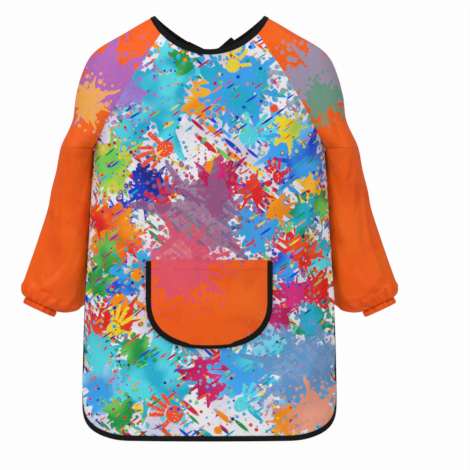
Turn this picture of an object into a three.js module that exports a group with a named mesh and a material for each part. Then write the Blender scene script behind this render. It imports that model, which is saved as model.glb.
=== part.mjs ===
// A child's long-sleeved artist smock: an open-backed printed apron body with raglan
// sleeves, elasticated cuffs, a bound neck and hem, a patch pocket, and two nape flaps
// that close with a hook tab and a loop tab. Millimetres, +Z up, the wearer faces -Y.
// Heights are measured up from the hem; the whole group is then lowered, so that the
// origin is the middle of the neck opening, level with the neck points.
import * as THREE from "three";

// ---------------------------------------------------------------- driving dimensions
const LENGTH = 600; // neck point to hem
const CHEST_HALF = 164; // half-width of the body at the underarm
const HEM_HALF = 180.6; // half-width of the body at the hem
const CLOTH = 1.4; // thickness that stands for the coated cloth
const GAP = 0.35; // gap kept between neighbouring pieces
const BINDING_WIDTH = 8; // finished width of the folded bias tape
const BINDING_RISE = 0.9; // how far the tape stands proud of the cloth, each side

// Neck opening, as seen from the front.
const NECK_HALF = 84;
const NECK_DROP = 54; // neck points down to the lower edge of the front band
const NECK_POINT = LENGTH - 3; // centre line of the binding at the neck points
const NAPE_HEIGHT = LENGTH - 45; // upper edge of the back band at the centre
const NAPE_CURVE = 1.5; // 1 makes the back neck a V, more makes it rounder

// Raglan seams run from the neck to the underarm.
const UNDERARM = LENGTH - 188;
const CREASE_TOP = UNDERARM + 68; // where the fold between body and sleeve dies out
const FRONT_RAGLAN = { x: NECK_HALF - 12, height: LENGTH - 32, bow: 5 };
const BACK_RAGLAN = { x: NECK_HALF - 22, height: LENGTH - 21, bow: 0 };

// Horizontal section of the body. Below the underarm the flare is stated as a share of
// the way from the chest to the hem; above it, the shoulders are stated by their drop
// below the neck point, first against the chest and then against the neck.
const FLARE = [[0, 1], [0.18, 0.94], [0.46, 0.75], [0.7, 0.42], [0.9, 0.16], [1, 0]];
const SHOULDER = [[160, 13], [120, 26], [100, 23], [77, 16], [63, 10], [49, -1]];
const NECK_SLOPE = [[25, 39], [3, 1], [-4, -14]];
const SIDE_RADIUS = { hem: 40, neck: 30 };
const FRONT_TURN = THREE.MathUtils.degToRad(20); // half-angle of the crowned front
const BACK_TURN = THREE.MathUtils.degToRad(14); // half-angle of the flatter back

// Hem corner, an ellipse quadrant seen from the front.
const HEM_CORNER = { width: 95, height: 77 };
const EDGE_BEHIND = 4; // the side edge lies this far behind the side line

// Back flaps.
const CENTRE_GAP = 1.2; // half the gap between the two flaps at the nape
const CENTRE_EDGE = 24; // length over which the flaps meet edge to edge
const FLAP_FOOT = 211; // where the free edge of the flap reaches the side
const FLAP_SWEEP = { x: CHEST_HALF - 29, height: UNDERARM + 13 }; // bows the free edge

// Sleeve stations: centre beyond the body's side, centre behind the side line, drop
// below the neck point, half-width, half-depth and tilt in degrees.
const SLEEVE_SHAPE = [
  [25.5, 3, 188, 22.5, 36, 0],
  [30.5, 20, 260, 32.0, 30, 4],
  [38.2, 24, 325, 41.0, 29, 8],
  [45.5, 25, 382, 49.0, 28, 14],
  [50.9, 25, 397, 46.0, 27, 20],
  [59.6, 25, 407, 34.0, 22, 24],
  [63.8, 25, 409.4, 24.0, 18, 25],
];
const CUFF = { height: 9, wall: 1.1, slot: 1.6, elastic: 6 };

// Pocket.
const POCKET = { half: 88.8, top: 253.5, straight: 200, bottom: 130 };
const POCKET_SQUARE = 2.5; // 2 makes its foot a half ellipse, more makes it squarer
const POCKET_STAND = 3.3; // the cloth at the pocket's edge above the body
const POCKET_BULGE = 11; // extra room at the middle of the mouth
const POCKET_HEM = { height: 14, thickness: 1.2 };
const LABEL = { width: 6, height: 8, thickness: 0.8, up: POCKET.top - 27.5 };

// Closure tabs at the nape: root and angle seen from the front.
const TAB = { width: 16, thickness: 1.2, pile: 1.2, inset: 1.5 };
const HOOK_TAB = { x: 7.5, height: NAPE_HEIGHT - 12, length: 38, angle: 41 };
const LOOP_TAB = { x: -8.5, height: NAPE_HEIGHT - 7, length: 29, angle: 154 };

// -------------------------------------------------------------------- small helpers
// A smooth curve through [position, value] stations that never overshoots them.
function profile(stations) {
  const n = stations.length;
  const slope = stations.slice(1).map((s, i) => {
    const [x0, y0] = stations[i];
    return (s[1] - y0) / (s[0] - x0);
  });
  const tangent = stations.map((_, i) => {
    if (i === 0 || i === n - 1) return slope[Math.min(i, n - 2)];
    const [before, after] = [slope[i - 1], slope[i]];
    return before * after <= 0 ? 0 : (2 * before * after) / (before + after);
  });
  return (at) => {
    const x = THREE.MathUtils.clamp(at, stations[0][0], stations[n - 1][0]);
    let i = 0;
    while (i < n - 2 && x > stations[i + 1][0]) i += 1;
    const [x0, y0] = stations[i];
    const [x1, y1] = stations[i + 1];
    const [w, t] = [x1 - x0, (x - x0) / (x1 - x0)];
    const [t2, t3] = [t * t, t * t * t];
    return y0 * (2 * t3 - 3 * t2 + 1) + tangent[i] * w * (t3 - 2 * t2 + t)
      + y1 * (3 * t2 - 2 * t3) + tangent[i + 1] * w * (t3 - t2);
  };
}

const lerp = THREE.MathUtils.lerp;

// The place between two limits where a test stops being true.
function limitOf(low, high, holds) {
  const middle = (low + high) / 2;
  if (high - low < 1e-9) return middle;
  return holds(middle) ? limitOf(middle, high, holds) : limitOf(low, middle, holds);
}
const smooth = (t) => THREE.MathUtils.smoothstep(t, 0, 1);
const span = (count, from = 0, to = 1) =>
  Array.from({ length: count + 1 }, (_, i) => lerp(from, to, i / count));
const spot = (a, b) => new THREE.Vector2(a, b); // a place on a surface

// ------------------------------------------------------------------ the body surface
const halfWidth = profile([
  ...FLARE.map(([share, flare]) => [share * UNDERARM, lerp(CHEST_HALF, HEM_HALF, flare)]),
  ...SHOULDER.map(([drop, beyond]) => [LENGTH - drop, CHEST_HALF + beyond]),
  ...NECK_SLOPE.map(([drop, beyond]) => [LENGTH - drop, NECK_HALF + beyond]),
]);

// One quarter of the section: a wide arc that meets the round side.
function quarter(height, turn) {
  const half = halfWidth(height);
  const side = lerp(SIDE_RADIUS.hem, SIDE_RADIUS.neck, (height / LENGTH) ** 2);
  const wide = (half - side * (1 - Math.sin(turn))) / Math.sin(turn);
  const length = wide * turn + side * (Math.PI / 2 - turn);
  return { half, side, wide, turn, length };
}

// x and depth at a share of the quarter's length, counted from its middle.
function onQuarter(q, share) {
  const s = share * q.length;
  if (s <= q.wide * q.turn) {
    const depth = q.side * Math.cos(q.turn) + q.wide * (Math.cos(s / q.wide) - Math.cos(q.turn));
    return [q.wide * Math.sin(s / q.wide), depth];
  }
  const angle = q.turn + (s - q.wide * q.turn) / q.side;
  return [q.half - q.side + q.side * Math.sin(angle), q.side * Math.cos(angle)];
}

function shareAt(q, x) {
  if (x <= q.wide * Math.sin(q.turn)) return (q.wide * Math.asin(x / q.wide)) / q.length;
  const angle = Math.asin(Math.min(1, (x - q.half + q.side) / q.side));
  return (q.wide * q.turn + q.side * (angle - q.turn)) / q.length;
}

// Places on the body: round is 0 at the centre front, 1 at the side and 2 at the centre
// back, negative on the wearer's right; up is the height above the hem.
function body(round, up) {
  const turned = Math.abs(round);
  const front = turned <= 1;
  const q = quarter(up, front ? FRONT_TURN : BACK_TURN);
  const [x, depth] = onQuarter(q, front ? turned : 2 - turned);
  return new THREE.Vector3(Math.sign(round) * x, front ? -depth : depth, up);
}

const frontAt = (x, up) => Math.sign(x) * shareAt(quarter(up, FRONT_TURN), Math.abs(x));
const backAt = (x, up) => 2 - shareAt(quarter(up, BACK_TURN), x);

// The same places laid flat: true distances from the centre front, or, for the pieces of
// the back, from the centre back.
function flat(place, back = false) {
  const [front, rear] = [quarter(place.y, FRONT_TURN).length, quarter(place.y, BACK_TURN).length];
  const round = Math.abs(place.x);
  const distance = round <= 1 ? round * front : front + (round - 1) * rear;
  return spot(back ? front + rear - distance : Math.sign(place.x) * distance, place.y);
}
function unflat(point, back = false) {
  const [front, rear] = [quarter(point.y, FRONT_TURN).length, quarter(point.y, BACK_TURN).length];
  const distance = back ? front + rear - point.x : Math.abs(point.x);
  const round = distance <= front ? distance / front : 1 + (distance - front) / rear;
  return spot(back ? round : Math.sign(point.x) * round, point.y);
}

// Moves a line of flat points to its left by an inset.
function offset(line, inset) {
  return line.map((p, i) => {
    const before = line[Math.max(0, i - 1)];
    const after = line[Math.min(line.length - 1, i + 1)];
    const along = after.clone().sub(before).normalize();
    return spot(p.x - along.y * inset, p.y + along.x * inset);
  });
}

// A point lifted off a surface along its outward normal.
function lifted(surface, a, b, lift) {
  const [da, db] = [1e-3, 0.4];
  const along = surface(a + da, b).sub(surface(a - da, b));
  const up = surface(a, b + db).sub(surface(a, b - db));
  return surface(a, b).addScaledVector(along.cross(up).normalize(), lift);
}

// ---------------------------------------------------------------------- making solids
// A closed solid between two matching grids of points.
function between(outer, inner, closed = false) {
  const [rows, columns] = [outer.length, outer[0].length];
  const positions = [...outer, ...inner].flat().flatMap((p) => [p.x, p.y, p.z]);
  const at = (side, j, i) => side * rows * columns + j * columns + (i % columns);
  const index = [];
  const quad = (a, b, c, d) => index.push(a, b, c, a, c, d);
  const across = closed ? columns : columns - 1;
  for (let j = 0; j < rows - 1; j += 1) {
    for (let i = 0; i < across; i += 1) {
      quad(at(0, j, i), at(0, j, i + 1), at(0, j + 1, i + 1), at(0, j + 1, i));
      quad(at(1, j, i), at(1, j + 1, i), at(1, j + 1, i + 1), at(1, j, i + 1));
    }
  }
  for (let i = 0; i < across; i += 1) {
    const last = rows - 1;
    quad(at(0, 0, i), at(1, 0, i), at(1, 0, i + 1), at(0, 0, i + 1));
    quad(at(0, last, i), at(0, last, i + 1), at(1, last, i + 1), at(1, last, i));
  }
  for (let j = 0; !closed && j < rows - 1; j += 1) {
    const last = columns - 1;
    quad(at(0, j, 0), at(0, j + 1, 0), at(1, j + 1, 0), at(1, j, 0));
    quad(at(0, j, last), at(1, j, last), at(1, j + 1, last), at(0, j + 1, last));
  }
  if (volume(positions, index) < 0) index.reverse();
  const geometry = new THREE.BufferGeometry();
  geometry.setAttribute("position", new THREE.Float32BufferAttribute(positions, 3));
  geometry.setIndex(index);
  geometry.computeVertexNormals();
  return geometry;
}

function volume(positions, index) {
  const corner = (i) => new THREE.Vector3().fromArray(positions, index[i] * 3);
  let sum = 0;
  for (let i = 0; i < index.length; i += 3) {
    sum += corner(i).dot(corner(i + 1).cross(corner(i + 2)));
  }
  return sum / 6;
}

// A layer of a surface between two lifts, over a grid of places.
function layer(surface, places, low, high) {
  const raised = (lift) => places.map((row) => row.map((p) => lifted(surface, p.x, p.y, lift)));
  return between(raised(high), raised(low));
}

// Fills the inside of four edges, each a list of places.
function patch(bottom, top, left, right) {
  const [n, m] = [bottom.length - 1, left.length - 1];
  return left.map((start, j) => bottom.map((foot, i) => {
    const [u, v] = [i / n, j / m];
    const sum = spot(0, 0);
    sum.addScaledVector(foot, 1 - v).addScaledVector(top[i], v);
    sum.addScaledVector(start, 1 - u).addScaledVector(right[j], u);
    sum.addScaledVector(bottom[0], -(1 - u) * (1 - v)).addScaledVector(bottom[n], -u * (1 - v));
    return sum.addScaledVector(top[0], -(1 - u) * v).addScaledVector(top[n], -u * v);
  }));
}

const mirrored = (geometry) => {
  const flipped = geometry.clone().applyMatrix4(new THREE.Matrix4().makeScale(-1, 1, 1));
  flipped.index.array.reverse();
  return flipped;
};

// ---------------------------------------------------------------------------- colours
const finish = (colour, roughness) =>
  new THREE.MeshStandardMaterial({ color: colour, roughness, metalness: 0 });
const PRINT = finish(0x6fb6d8, 0.55);
const ORANGE = finish(0xff6a10, 0.5);
const BLACK = finish(0x0b0b0d, 0.75);
const WHITE = finish(0xf2f2ee, 0.8);
const PILE = finish(0x141416, 0.95);

const smock = new THREE.Group();
smock.position.z = -LENGTH;

function add(name, geometry, material) {
  const mesh = new THREE.Mesh(geometry, material);
  mesh.name = name;
  smock.add(mesh);
  return mesh;
}

// Adds a piece of the wearer's left and its mirror image on the right.
function addPair(name, geometry, material) {
  add(`left_${name}`, geometry, material);
  add(`right_${name}`, mirrored(geometry), material);
}

// -------------------------------------------------------------------------- the necks
// The neck edge moved outwards by an inset: where it meets the shoulder ridge.
function neckRim(inset) {
  const radius = (NECK_HALF ** 2 + NECK_DROP ** 2) / (2 * NECK_DROP) - BINDING_WIDTH + inset;
  const centre = NECK_POINT - NECK_DROP + radius - inset + BINDING_WIDTH;
  const up = (angle) => centre - radius * Math.cos(angle);
  const angle = limitOf(0, Math.PI / 2, (a) => radius * Math.sin(a) < halfWidth(up(a)));
  return { radius, centre, angle, x: radius * Math.sin(angle), up: up(angle) };
}

// Front half of the neck edge at a share of the way from the centre to the neck point.
function neckFront(inset, share) {
  const rim = neckRim(inset);
  const angle = rim.angle * share;
  const up = rim.centre - rim.radius * Math.cos(angle);
  return spot(frontAt(rim.radius * Math.sin(angle), up), up);
}

// Back half of the neck edge at a distance x from the centre.
function neckBackHeight(inset, x) {
  const rim = neckRim(inset);
  const nape = NAPE_HEIGHT - inset;
  return nape + (rim.up - nape) * Math.min(1, x / rim.x) ** NAPE_CURVE;
}
function neckBack(inset, x) {
  const up = neckBackHeight(inset, x);
  return spot(backAt(x, up), up);
}

// ------------------------------------------------------------------------ raglan seams
function raglanX(seam, up) {
  const t = (seam.height - up) / (seam.height - UNDERARM);
  const bow = seam.bow * Math.sin(Math.PI * THREE.MathUtils.clamp(t, 0, 1));
  return lerp(seam.x, CHEST_HALF, t) + bow;
}

// Height where a raglan seam meets the neck edge.
const raglanTop = (seam, neckHeightAt) =>
  limitOf(UNDERARM, LENGTH, (up) => up < neckHeightAt(raglanX(seam, up)));
function neckFrontHeight(inset, x) {
  const rim = neckRim(inset);
  return rim.centre - Math.sqrt(rim.radius ** 2 - Math.min(x, rim.x) ** 2);
}
const SET_BACK = BINDING_WIDTH + GAP; // the cloth stops short of its binding
const RAGLAN_ROWS = 9;
const CAP_FOOT = 0.8; // the cap stops this far above the top of the sleeve
const seamHeights = (top) => span(RAGLAN_ROWS, UNDERARM + CAP_FOOT, top);
const FRONT_TOP = raglanTop(FRONT_RAGLAN, (x) => neckFrontHeight(SET_BACK, x));
const BACK_TOP = raglanTop(BACK_RAGLAN, (x) => neckBackHeight(SET_BACK, x));

// ------------------------------------------------------------------------- front panel
const COLUMNS = 22;
const SIDE_ROWS = 6;
const SEAM_ROWS = 6;

// The lower edge of the body from the wearer's right side to the left, as flat points:
// down the side, round the corner along an elliptical arc, and along the hem.
function lowerEdge() {
  const sideAt = (up) => spot(flat(spot(1, up)).x + EDGE_BEHIND, up);
  const sides = span(SIDE_ROWS, FLAP_FOOT - GAP, HEM_CORNER.height).map(sideAt);
  const start = flat(spot(1, 0)).x + EDGE_BEHIND - HEM_CORNER.width;
  const corner = span(COLUMNS / 2 - 4, Math.PI / 2, 0).slice(1).map((angle) => {
    const up = HEM_CORNER.height * (1 - Math.cos(angle));
    const drift = sideAt(up).x - sideAt(0).x;
    return spot(start + HEM_CORNER.width * Math.sin(angle) + drift * Math.sin(angle) ** 2, up);
  });
  const base = span(4, start, 0).slice(1).map((x) => spot(x, 0));
  const half = [...sides, ...corner, ...base];
  return [...half.map((p) => spot(-p.x, p.y)), ...half.slice(0, -1).reverse()];
}
const lowerPlaces = (inset) => offset(lowerEdge(), inset).map((p) => unflat(p));

// The flap's free edge laid flat: from the side, in a curve to the centre, then up.
const FLAP_STEPS = 14;
const SEAM_FOOT = 2; // width of the flap's cloth at its lowest corner
function flapEdge() {
  const side = flat(spot(1, FLAP_FOOT), true).sub(spot(EDGE_BEHIND, 0));
  const sweep = flat(spot(backAt(FLAP_SWEEP.x, FLAP_SWEEP.height), FLAP_SWEEP.height), true);
  const low = spot(CENTRE_GAP, NAPE_HEIGHT - BINDING_WIDTH - CENTRE_EDGE);
  return new THREE.QuadraticBezierCurve(low, sweep, side).getPoints(FLAP_STEPS).reverse();
}

// That edge moved in by an inset, with its ends kept on the centre edge and the side.
function flapPlacesAt(inset) {
  const line = offset(flapEdge(), -inset);
  line[0].y = FLAP_FOOT + GAP;
  line.at(-1).x = CENTRE_GAP + inset;
  return line.map((p) => unflat(p, true));
}

// The side seam, from the flap's first corner to the underarm.
function sideSeam(shift) {
  const from = flat(flapPlacesAt(SET_BACK)[1]).sub(spot(SEAM_FOOT, 0));
  const to = flat(spot(1, UNDERARM));
  return span(SEAM_ROWS).map((t) => unflat(from.clone().lerp(to, t).add(spot(shift, 0))));
}

function frontPlaces() {
  const edge = lowerPlaces(SET_BACK);
  const bottom = edge.slice(SIDE_ROWS, edge.length - SIDE_ROWS);
  const side = [...edge.slice(edge.length - SIDE_ROWS - 1), ...sideSeam(-GAP)];
  const raglan = seamHeights(FRONT_TOP)
    .map((up) => spot(frontAt(raglanX(FRONT_RAGLAN, up) - GAP, up), up));
  const left = [...side, ...raglan];
  const right = left.map((p) => spot(-p.x, p.y));
  const reach = Math.asin((raglanX(FRONT_RAGLAN, FRONT_TOP) - GAP) / neckRim(SET_BACK).radius);
  const top = span(COLUMNS, -1, 1).map((s) => {
    const p = neckFront(SET_BACK, (Math.abs(s) * reach) / neckRim(SET_BACK).angle);
    return spot(Math.sign(s) * p.x, p.y);
  });
  top[0].copy(right.at(-1));
  top[COLUMNS].copy(left.at(-1));
  return patch(bottom, top, right, left);
}
add("front_panel", layer(body, frontPlaces(), -CLOTH, 0), PRINT);

// The binding follows the same edge, so that its facets match the cloth's.
const ribbon = (surface, inner, outer) =>
  layer(surface, [inner, outer], -CLOTH - BINDING_RISE, BINDING_RISE);
add("hem_binding", ribbon(body, lowerPlaces(BINDING_WIDTH), lowerPlaces(0)), BLACK);

function neckLoop(inset) {
  const back = span(4, raglanX(BACK_RAGLAN, BACK_TOP) + 1, neckRim(inset).x).map((x) => neckBack(inset, x));
  const front = span(12, 1, 0).map((s) => neckFront(inset, s));
  const half = [...back.slice(0, -1), ...front];
  return [...half, ...half.slice(0, -1).reverse().map((p) => spot(-p.x, p.y))];
}
add("neck_binding", ribbon(body, neckLoop(BINDING_WIDTH), neckLoop(0)), BLACK);

// ---------------------------------------------------------------- shoulders and sleeves
const SLEEVE = SLEEVE_SHAPE.map(([beyond, behind, drop, ...rest]) =>
  [halfWidth(LENGTH - drop) + beyond, behind, LENGTH - drop, ...rest]);

// A sleeve section: round runs from the underarm by the front, the outside and the back.
function tube(station, round) {
  const [x, y, up, half, depth, tilt] = station;
  const angle = Math.PI - 2 * Math.PI * round;
  const [across, lean] = [half * Math.cos(angle), THREE.MathUtils.degToRad(tilt)];
  const behind = y - depth * Math.sin(angle);
  return new THREE.Vector3(x + across * Math.cos(lean), behind, up + across * Math.sin(lean));
}

// The cap runs from the front seam at share 0 to the back seam at share 1. It follows the
// body's section, and closes into the top of the sleeve towards the underarm.
const capFrom = (up) => frontAt(raglanX(FRONT_RAGLAN, up) + GAP, up);
const capTo = (up) => backAt(raglanX(BACK_RAGLAN, up) + GAP, up);
function cap(share, up) {
  const [from, to] = [capFrom(up), capTo(up)];
  const closing = smooth((CREASE_TOP - up) / (CREASE_TOP - UNDERARM));
  const open = body(lerp(from, to, share), up);
  const top = SLEEVE[0].with(2, up);
  const shut = tube(top, share);
  for (const [end, weight] of [[0, 1 - share * 4], [1, share * 4 - 3]]) {
    if (weight > 0) shut.addScaledVector(body(end ? to : from, up).sub(tube(top, end)), weight);
  }
  return open.lerp(shut, closing);
}

const CAP_COLUMNS = 14;
function capPlaces() {
  const front = seamHeights(FRONT_TOP).map((up) => spot(0, up));
  const back = seamHeights(BACK_TOP).map((up) => spot(1, up));
  const bottom = span(CAP_COLUMNS).map((share) => spot(share, UNDERARM + CAP_FOOT));
  const reach = Math.asin((raglanX(FRONT_RAGLAN, FRONT_TOP) + GAP) / neckRim(SET_BACK).radius);
  const half = CAP_COLUMNS / 2;
  const top = [
    ...span(half, reach / neckRim(SET_BACK).angle, 1).map((s) => neckFront(SET_BACK, s)),
    ...span(half, neckRim(SET_BACK).x, raglanX(BACK_RAGLAN, BACK_TOP) + GAP)
      .slice(1).map((x) => neckBack(SET_BACK, x)),
  ].map((p) => spot((p.x - capFrom(p.y)) / (capTo(p.y) - capFrom(p.y)), p.y));
  top[0].copy(front.at(-1));
  top[CAP_COLUMNS].copy(back.at(-1));
  return patch(bottom, top, front, back);
}
addPair("shoulder", layer(cap, capPlaces(), -CLOTH, 0), ORANGE);

// Sleeve rings between the stations, and the same rings drawn in by the cloth.
function sleeveStation(t) {
  const i = Math.min(SLEEVE.length - 2, Math.floor(t));
  return SLEEVE[i].map((value, k) => {
    const before = SLEEVE[Math.max(0, i - 1)][k];
    const after = SLEEVE[Math.min(SLEEVE.length - 1, i + 2)][k];
    const [from, to, s] = [value, SLEEVE[i + 1][k], t - i];
    const [m0, m1] = [(to - before) / 2, (after - from) / 2];
    return from * (2 * s ** 3 - 3 * s ** 2 + 1) + m0 * (s ** 3 - 2 * s ** 2 + s)
      + to * (3 * s ** 2 - 2 * s ** 3) + m1 * (s ** 3 - s ** 2);
  });
}
const ROUND_SLEEVE = 18;
const ring = (station, grow = 0) => span(ROUND_SLEEVE).slice(0, -1).map((round) => {
  const [x, y, up, half, depth, tilt] = station;
  return tube([x, y, up, half + grow, depth + grow, tilt], round);
});
const SLEEVE_STEPS = span(2 * (SLEEVE.length - 1), 0, SLEEVE.length - 1);
const sleeveRings = (grow) => SLEEVE_STEPS.map((t) => ring(sleeveStation(t), grow));
addPair("sleeve", between(sleeveRings(0), sleeveRings(-CLOTH), true), ORANGE);

// The hem of the sleeve is a folded channel with an elastic band inside it.
const sleeveEnd = SLEEVE.at(-1);
const cuffTilt = THREE.MathUtils.degToRad(sleeveEnd.at(-1));
const cuffDown = new THREE.Vector3(Math.sin(cuffTilt), 0, -Math.cos(cuffTilt));
const cuffDepth = CUFF.wall * 2 + CUFF.slot;

// A closed band round the wrist, from its section as [outwards, down the arm] corners.
function cuffBand(section) {
  const rings = section.map(([grow, down]) =>
    ring(sleeveEnd, grow).map((p) => p.addScaledVector(cuffDown, down)));
  const [sides, around] = [rings.length, rings[0].length];
  const positions = rings.flat().flatMap((p) => [p.x, p.y, p.z]);
  const at = (k, i) => (k % sides) * around + (i % around);
  const index = [];
  for (let k = 0; k < sides; k += 1) {
    for (let i = 0; i < around; i += 1) {
      index.push(at(k, i), at(k, i + 1), at(k + 1, i + 1));
      index.push(at(k, i), at(k + 1, i + 1), at(k + 1, i));
    }
  }
  if (volume(positions, index) < 0) index.reverse();
  const geometry = new THREE.BufferGeometry();
  geometry.setAttribute("position", new THREE.Float32BufferAttribute(positions, 3));
  geometry.setIndex(index);
  geometry.computeVertexNormals();
  return geometry;
}
addPair("cuff_casing", cuffBand([
  [0, GAP], [0, CUFF.height], [-cuffDepth, CUFF.height], [-cuffDepth, GAP],
  [-cuffDepth + CUFF.wall, GAP], [-cuffDepth + CUFF.wall, CUFF.height - CUFF.wall],
  [-CUFF.wall, CUFF.height - CUFF.wall], [-CUFF.wall, GAP],
]), ORANGE);
const bandTop = CUFF.height - CUFF.wall - GAP - CUFF.elastic;
addPair("cuff_elastic", cuffBand([
  [-CUFF.wall - GAP, bandTop], [-CUFF.wall - GAP, bandTop + CUFF.elastic],
  [-CUFF.wall - CUFF.slot + GAP, bandTop + CUFF.elastic], [-CUFF.wall - CUFF.slot + GAP, bandTop],
]), WHITE);

// -------------------------------------------------------------------------- back flaps

const FLAP_COLUMNS = 7;
function flapPlaces() {
  const raglan = seamHeights(BACK_TOP)
    .map((up) => spot(backAt(raglanX(BACK_RAGLAN, up) - GAP, up), up));
  const seam = [...sideSeam(GAP), ...raglan];
  const free = flapPlacesAt(SET_BACK).slice(1);
  const inner = CENTRE_GAP + SET_BACK;
  const neck = neckBackHeight(SET_BACK, inner);
  const centre = span(seam.length - free.length, free.at(-1).y, neck)
    .slice(1).map((up) => unflat(spot(inner, up), true));
  const edge = [...free, ...centre];
  const bottom = span(FLAP_COLUMNS).map((t) => seam[0].clone().lerp(edge[0], t));
  const top = span(FLAP_COLUMNS, raglanX(BACK_RAGLAN, BACK_TOP) - GAP, inner)
    .map((x) => neckBack(SET_BACK, x));
  top[0].copy(seam.at(-1));
  top.at(-1).copy(edge.at(-1));
  return patch(bottom, top, seam, edge);
}
addPair("back_flap", layer(body, flapPlaces(), -CLOTH, 0), PRINT);

function flapBindingPlaces(inset) {
  const top = NAPE_HEIGHT - BINDING_WIDTH - GAP;
  return [...flapPlacesAt(inset), unflat(spot(CENTRE_GAP + inset, top), true)];
}
addPair("flap_binding",
  ribbon(body, flapBindingPlaces(BINDING_WIDTH), flapBindingPlaces(0)), BLACK);

const napeRun = (inset) => span(6, CENTRE_GAP, raglanX(BACK_RAGLAN, BACK_TOP) - GAP)
  .map((x) => neckBack(inset, x));
addPair("flap_neck_binding", ribbon(body, napeRun(BINDING_WIDTH), napeRun(0)), BLACK);

// ------------------------------------------------------------------------ closure tabs
// A flat bar that starts at its root line and runs outwards at an angle.
function bar(tab, from, to, half, low, high) {
  const angle = THREE.MathUtils.degToRad(tab.angle);
  const shape = new THREE.Shape([
    spot(from, -half), spot(to, -half), spot(to, half), spot(from, half),
  ]);
  const made = new THREE.ExtrudeGeometry(shape, { depth: high - low, bevelEnabled: false });
  const turn = new THREE.Matrix4().makeBasis(
    new THREE.Vector3(Math.cos(angle), 0, Math.sin(angle)),
    new THREE.Vector3(-Math.sin(angle), 0, Math.cos(angle)),
    new THREE.Vector3(0, -1, 0));
  turn.setPosition(tab.x, tabFace + high, tab.height);
  return made.applyMatrix4(turn);
}
const tabFace = lifted(body, backAt(10, HOOK_TAB.height), HOOK_TAB.height, BINDING_RISE + GAP).y;
for (const [name, tab] of [["hook", HOOK_TAB], ["loop", LOOP_TAB]]) {
  const half = TAB.width / 2;
  add(`${name}_tab`, bar(tab, 0, tab.length, half, 0, TAB.thickness), BLACK);
  add(`${name}_tape`, bar(tab, TAB.inset * 2, tab.length - TAB.inset, half - TAB.inset,
    TAB.thickness + GAP, TAB.thickness + GAP + TAB.pile), PILE);
}

// ------------------------------------------------------------------------------ pocket
// How far the pocket's cloth stands off the body: least along its sewn edge.
function pocketLift(x, up) {
  const down = Math.max(0, (POCKET.straight - up) / (POCKET.straight - POCKET.bottom));
  const room = Math.max(0, 1 - (x / (POCKET.half - SET_BACK)) ** 2 - down ** 2);
  return POCKET_STAND + POCKET_BULGE * room;
}

// The U-shaped edge from the wearer's right to the left, moved in by an inset.
const POCKET_COLUMNS = 18;
function pocketFoot(inset) {
  const wide = POCKET.half - inset;
  const deep = POCKET.straight - POCKET.bottom - inset;
  const eased = (v) => Math.sign(v) * Math.abs(v) ** (2 / POCKET_SQUARE);
  return span(POCKET_COLUMNS, Math.PI, 0).map((angle) =>
    [wide * eased(Math.cos(angle)), POCKET.straight - deep * eased(Math.sin(angle))]);
}
const onFront = ([x, up]) => spot(frontAt(x, up), up);

// A sheet that follows the pocket's shape between two heights at each column.
function pocketSheet(rows, low, high) {
  const raised = (extra) => rows.map((row) => row.map(([x, up]) =>
    lifted(body, frontAt(x, up), up, pocketLift(x, up) + extra)));
  return between(raised(high), raised(low));
}
const POCKET_ROWS = 6;
const pocketRows = span(POCKET_ROWS).map((v) =>
  pocketFoot(SET_BACK).map(([x, foot]) => [x, lerp(foot, POCKET.top, v)]));
add("pocket_panel", pocketSheet(pocketRows, -CLOTH, 0), ORANGE);

// The top of the pocket is turned in and sewn down, one more layer behind the mouth.
const hemRows = span(2, POCKET.top - POCKET_HEM.height, POCKET.top).map((up) =>
  pocketFoot(SET_BACK).map(([x]) => [x, up]));
add("pocket_hem", pocketSheet(hemRows, -CLOTH - GAP - POCKET_HEM.thickness, -CLOTH - GAP), ORANGE);

function pocketEdge(inset) {
  const wide = POCKET.half - inset;
  return [[-wide, POCKET.top], ...pocketFoot(inset), [wide, POCKET.top]].map(onFront);
}
add("pocket_binding", layer(body, [pocketEdge(BINDING_WIDTH), pocketEdge(0)],
  GAP, POCKET_STAND + BINDING_RISE), BLACK);

const labelPlaces = [LABEL.up, LABEL.up + LABEL.height].map((up) =>
  [POCKET.half + GAP, POCKET.half + LABEL.width].map((x) => onFront([x, up])));
add("side_label", layer(body, labelPlaces, GAP, GAP + LABEL.thickness), WHITE);

export default smock;
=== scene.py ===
"""Artist's smock: printed body, raglan sleeves, bound edges, gathered cuffs, patch pocket."""

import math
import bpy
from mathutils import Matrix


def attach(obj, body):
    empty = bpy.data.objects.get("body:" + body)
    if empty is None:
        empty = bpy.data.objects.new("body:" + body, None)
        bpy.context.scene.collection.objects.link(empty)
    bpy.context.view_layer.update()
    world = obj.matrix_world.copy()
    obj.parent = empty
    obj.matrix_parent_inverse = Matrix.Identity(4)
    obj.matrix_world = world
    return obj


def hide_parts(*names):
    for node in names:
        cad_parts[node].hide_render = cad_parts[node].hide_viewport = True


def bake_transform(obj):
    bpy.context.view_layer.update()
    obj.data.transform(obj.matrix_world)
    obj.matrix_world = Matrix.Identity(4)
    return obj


bl_info = {
    "name": "Artist Smock",
    "version": (1, 0, 0),
    "blender": (4, 5, 0),
    "location": "View3D > Sidebar > Smock",
    "description": "Builds a painter's smock with bound edges, gathered cuffs and a patch pocket",
    "category": "Add Mesh",
}

import bmesh
import bpy
import numpy as np
from mathutils import Vector

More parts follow.
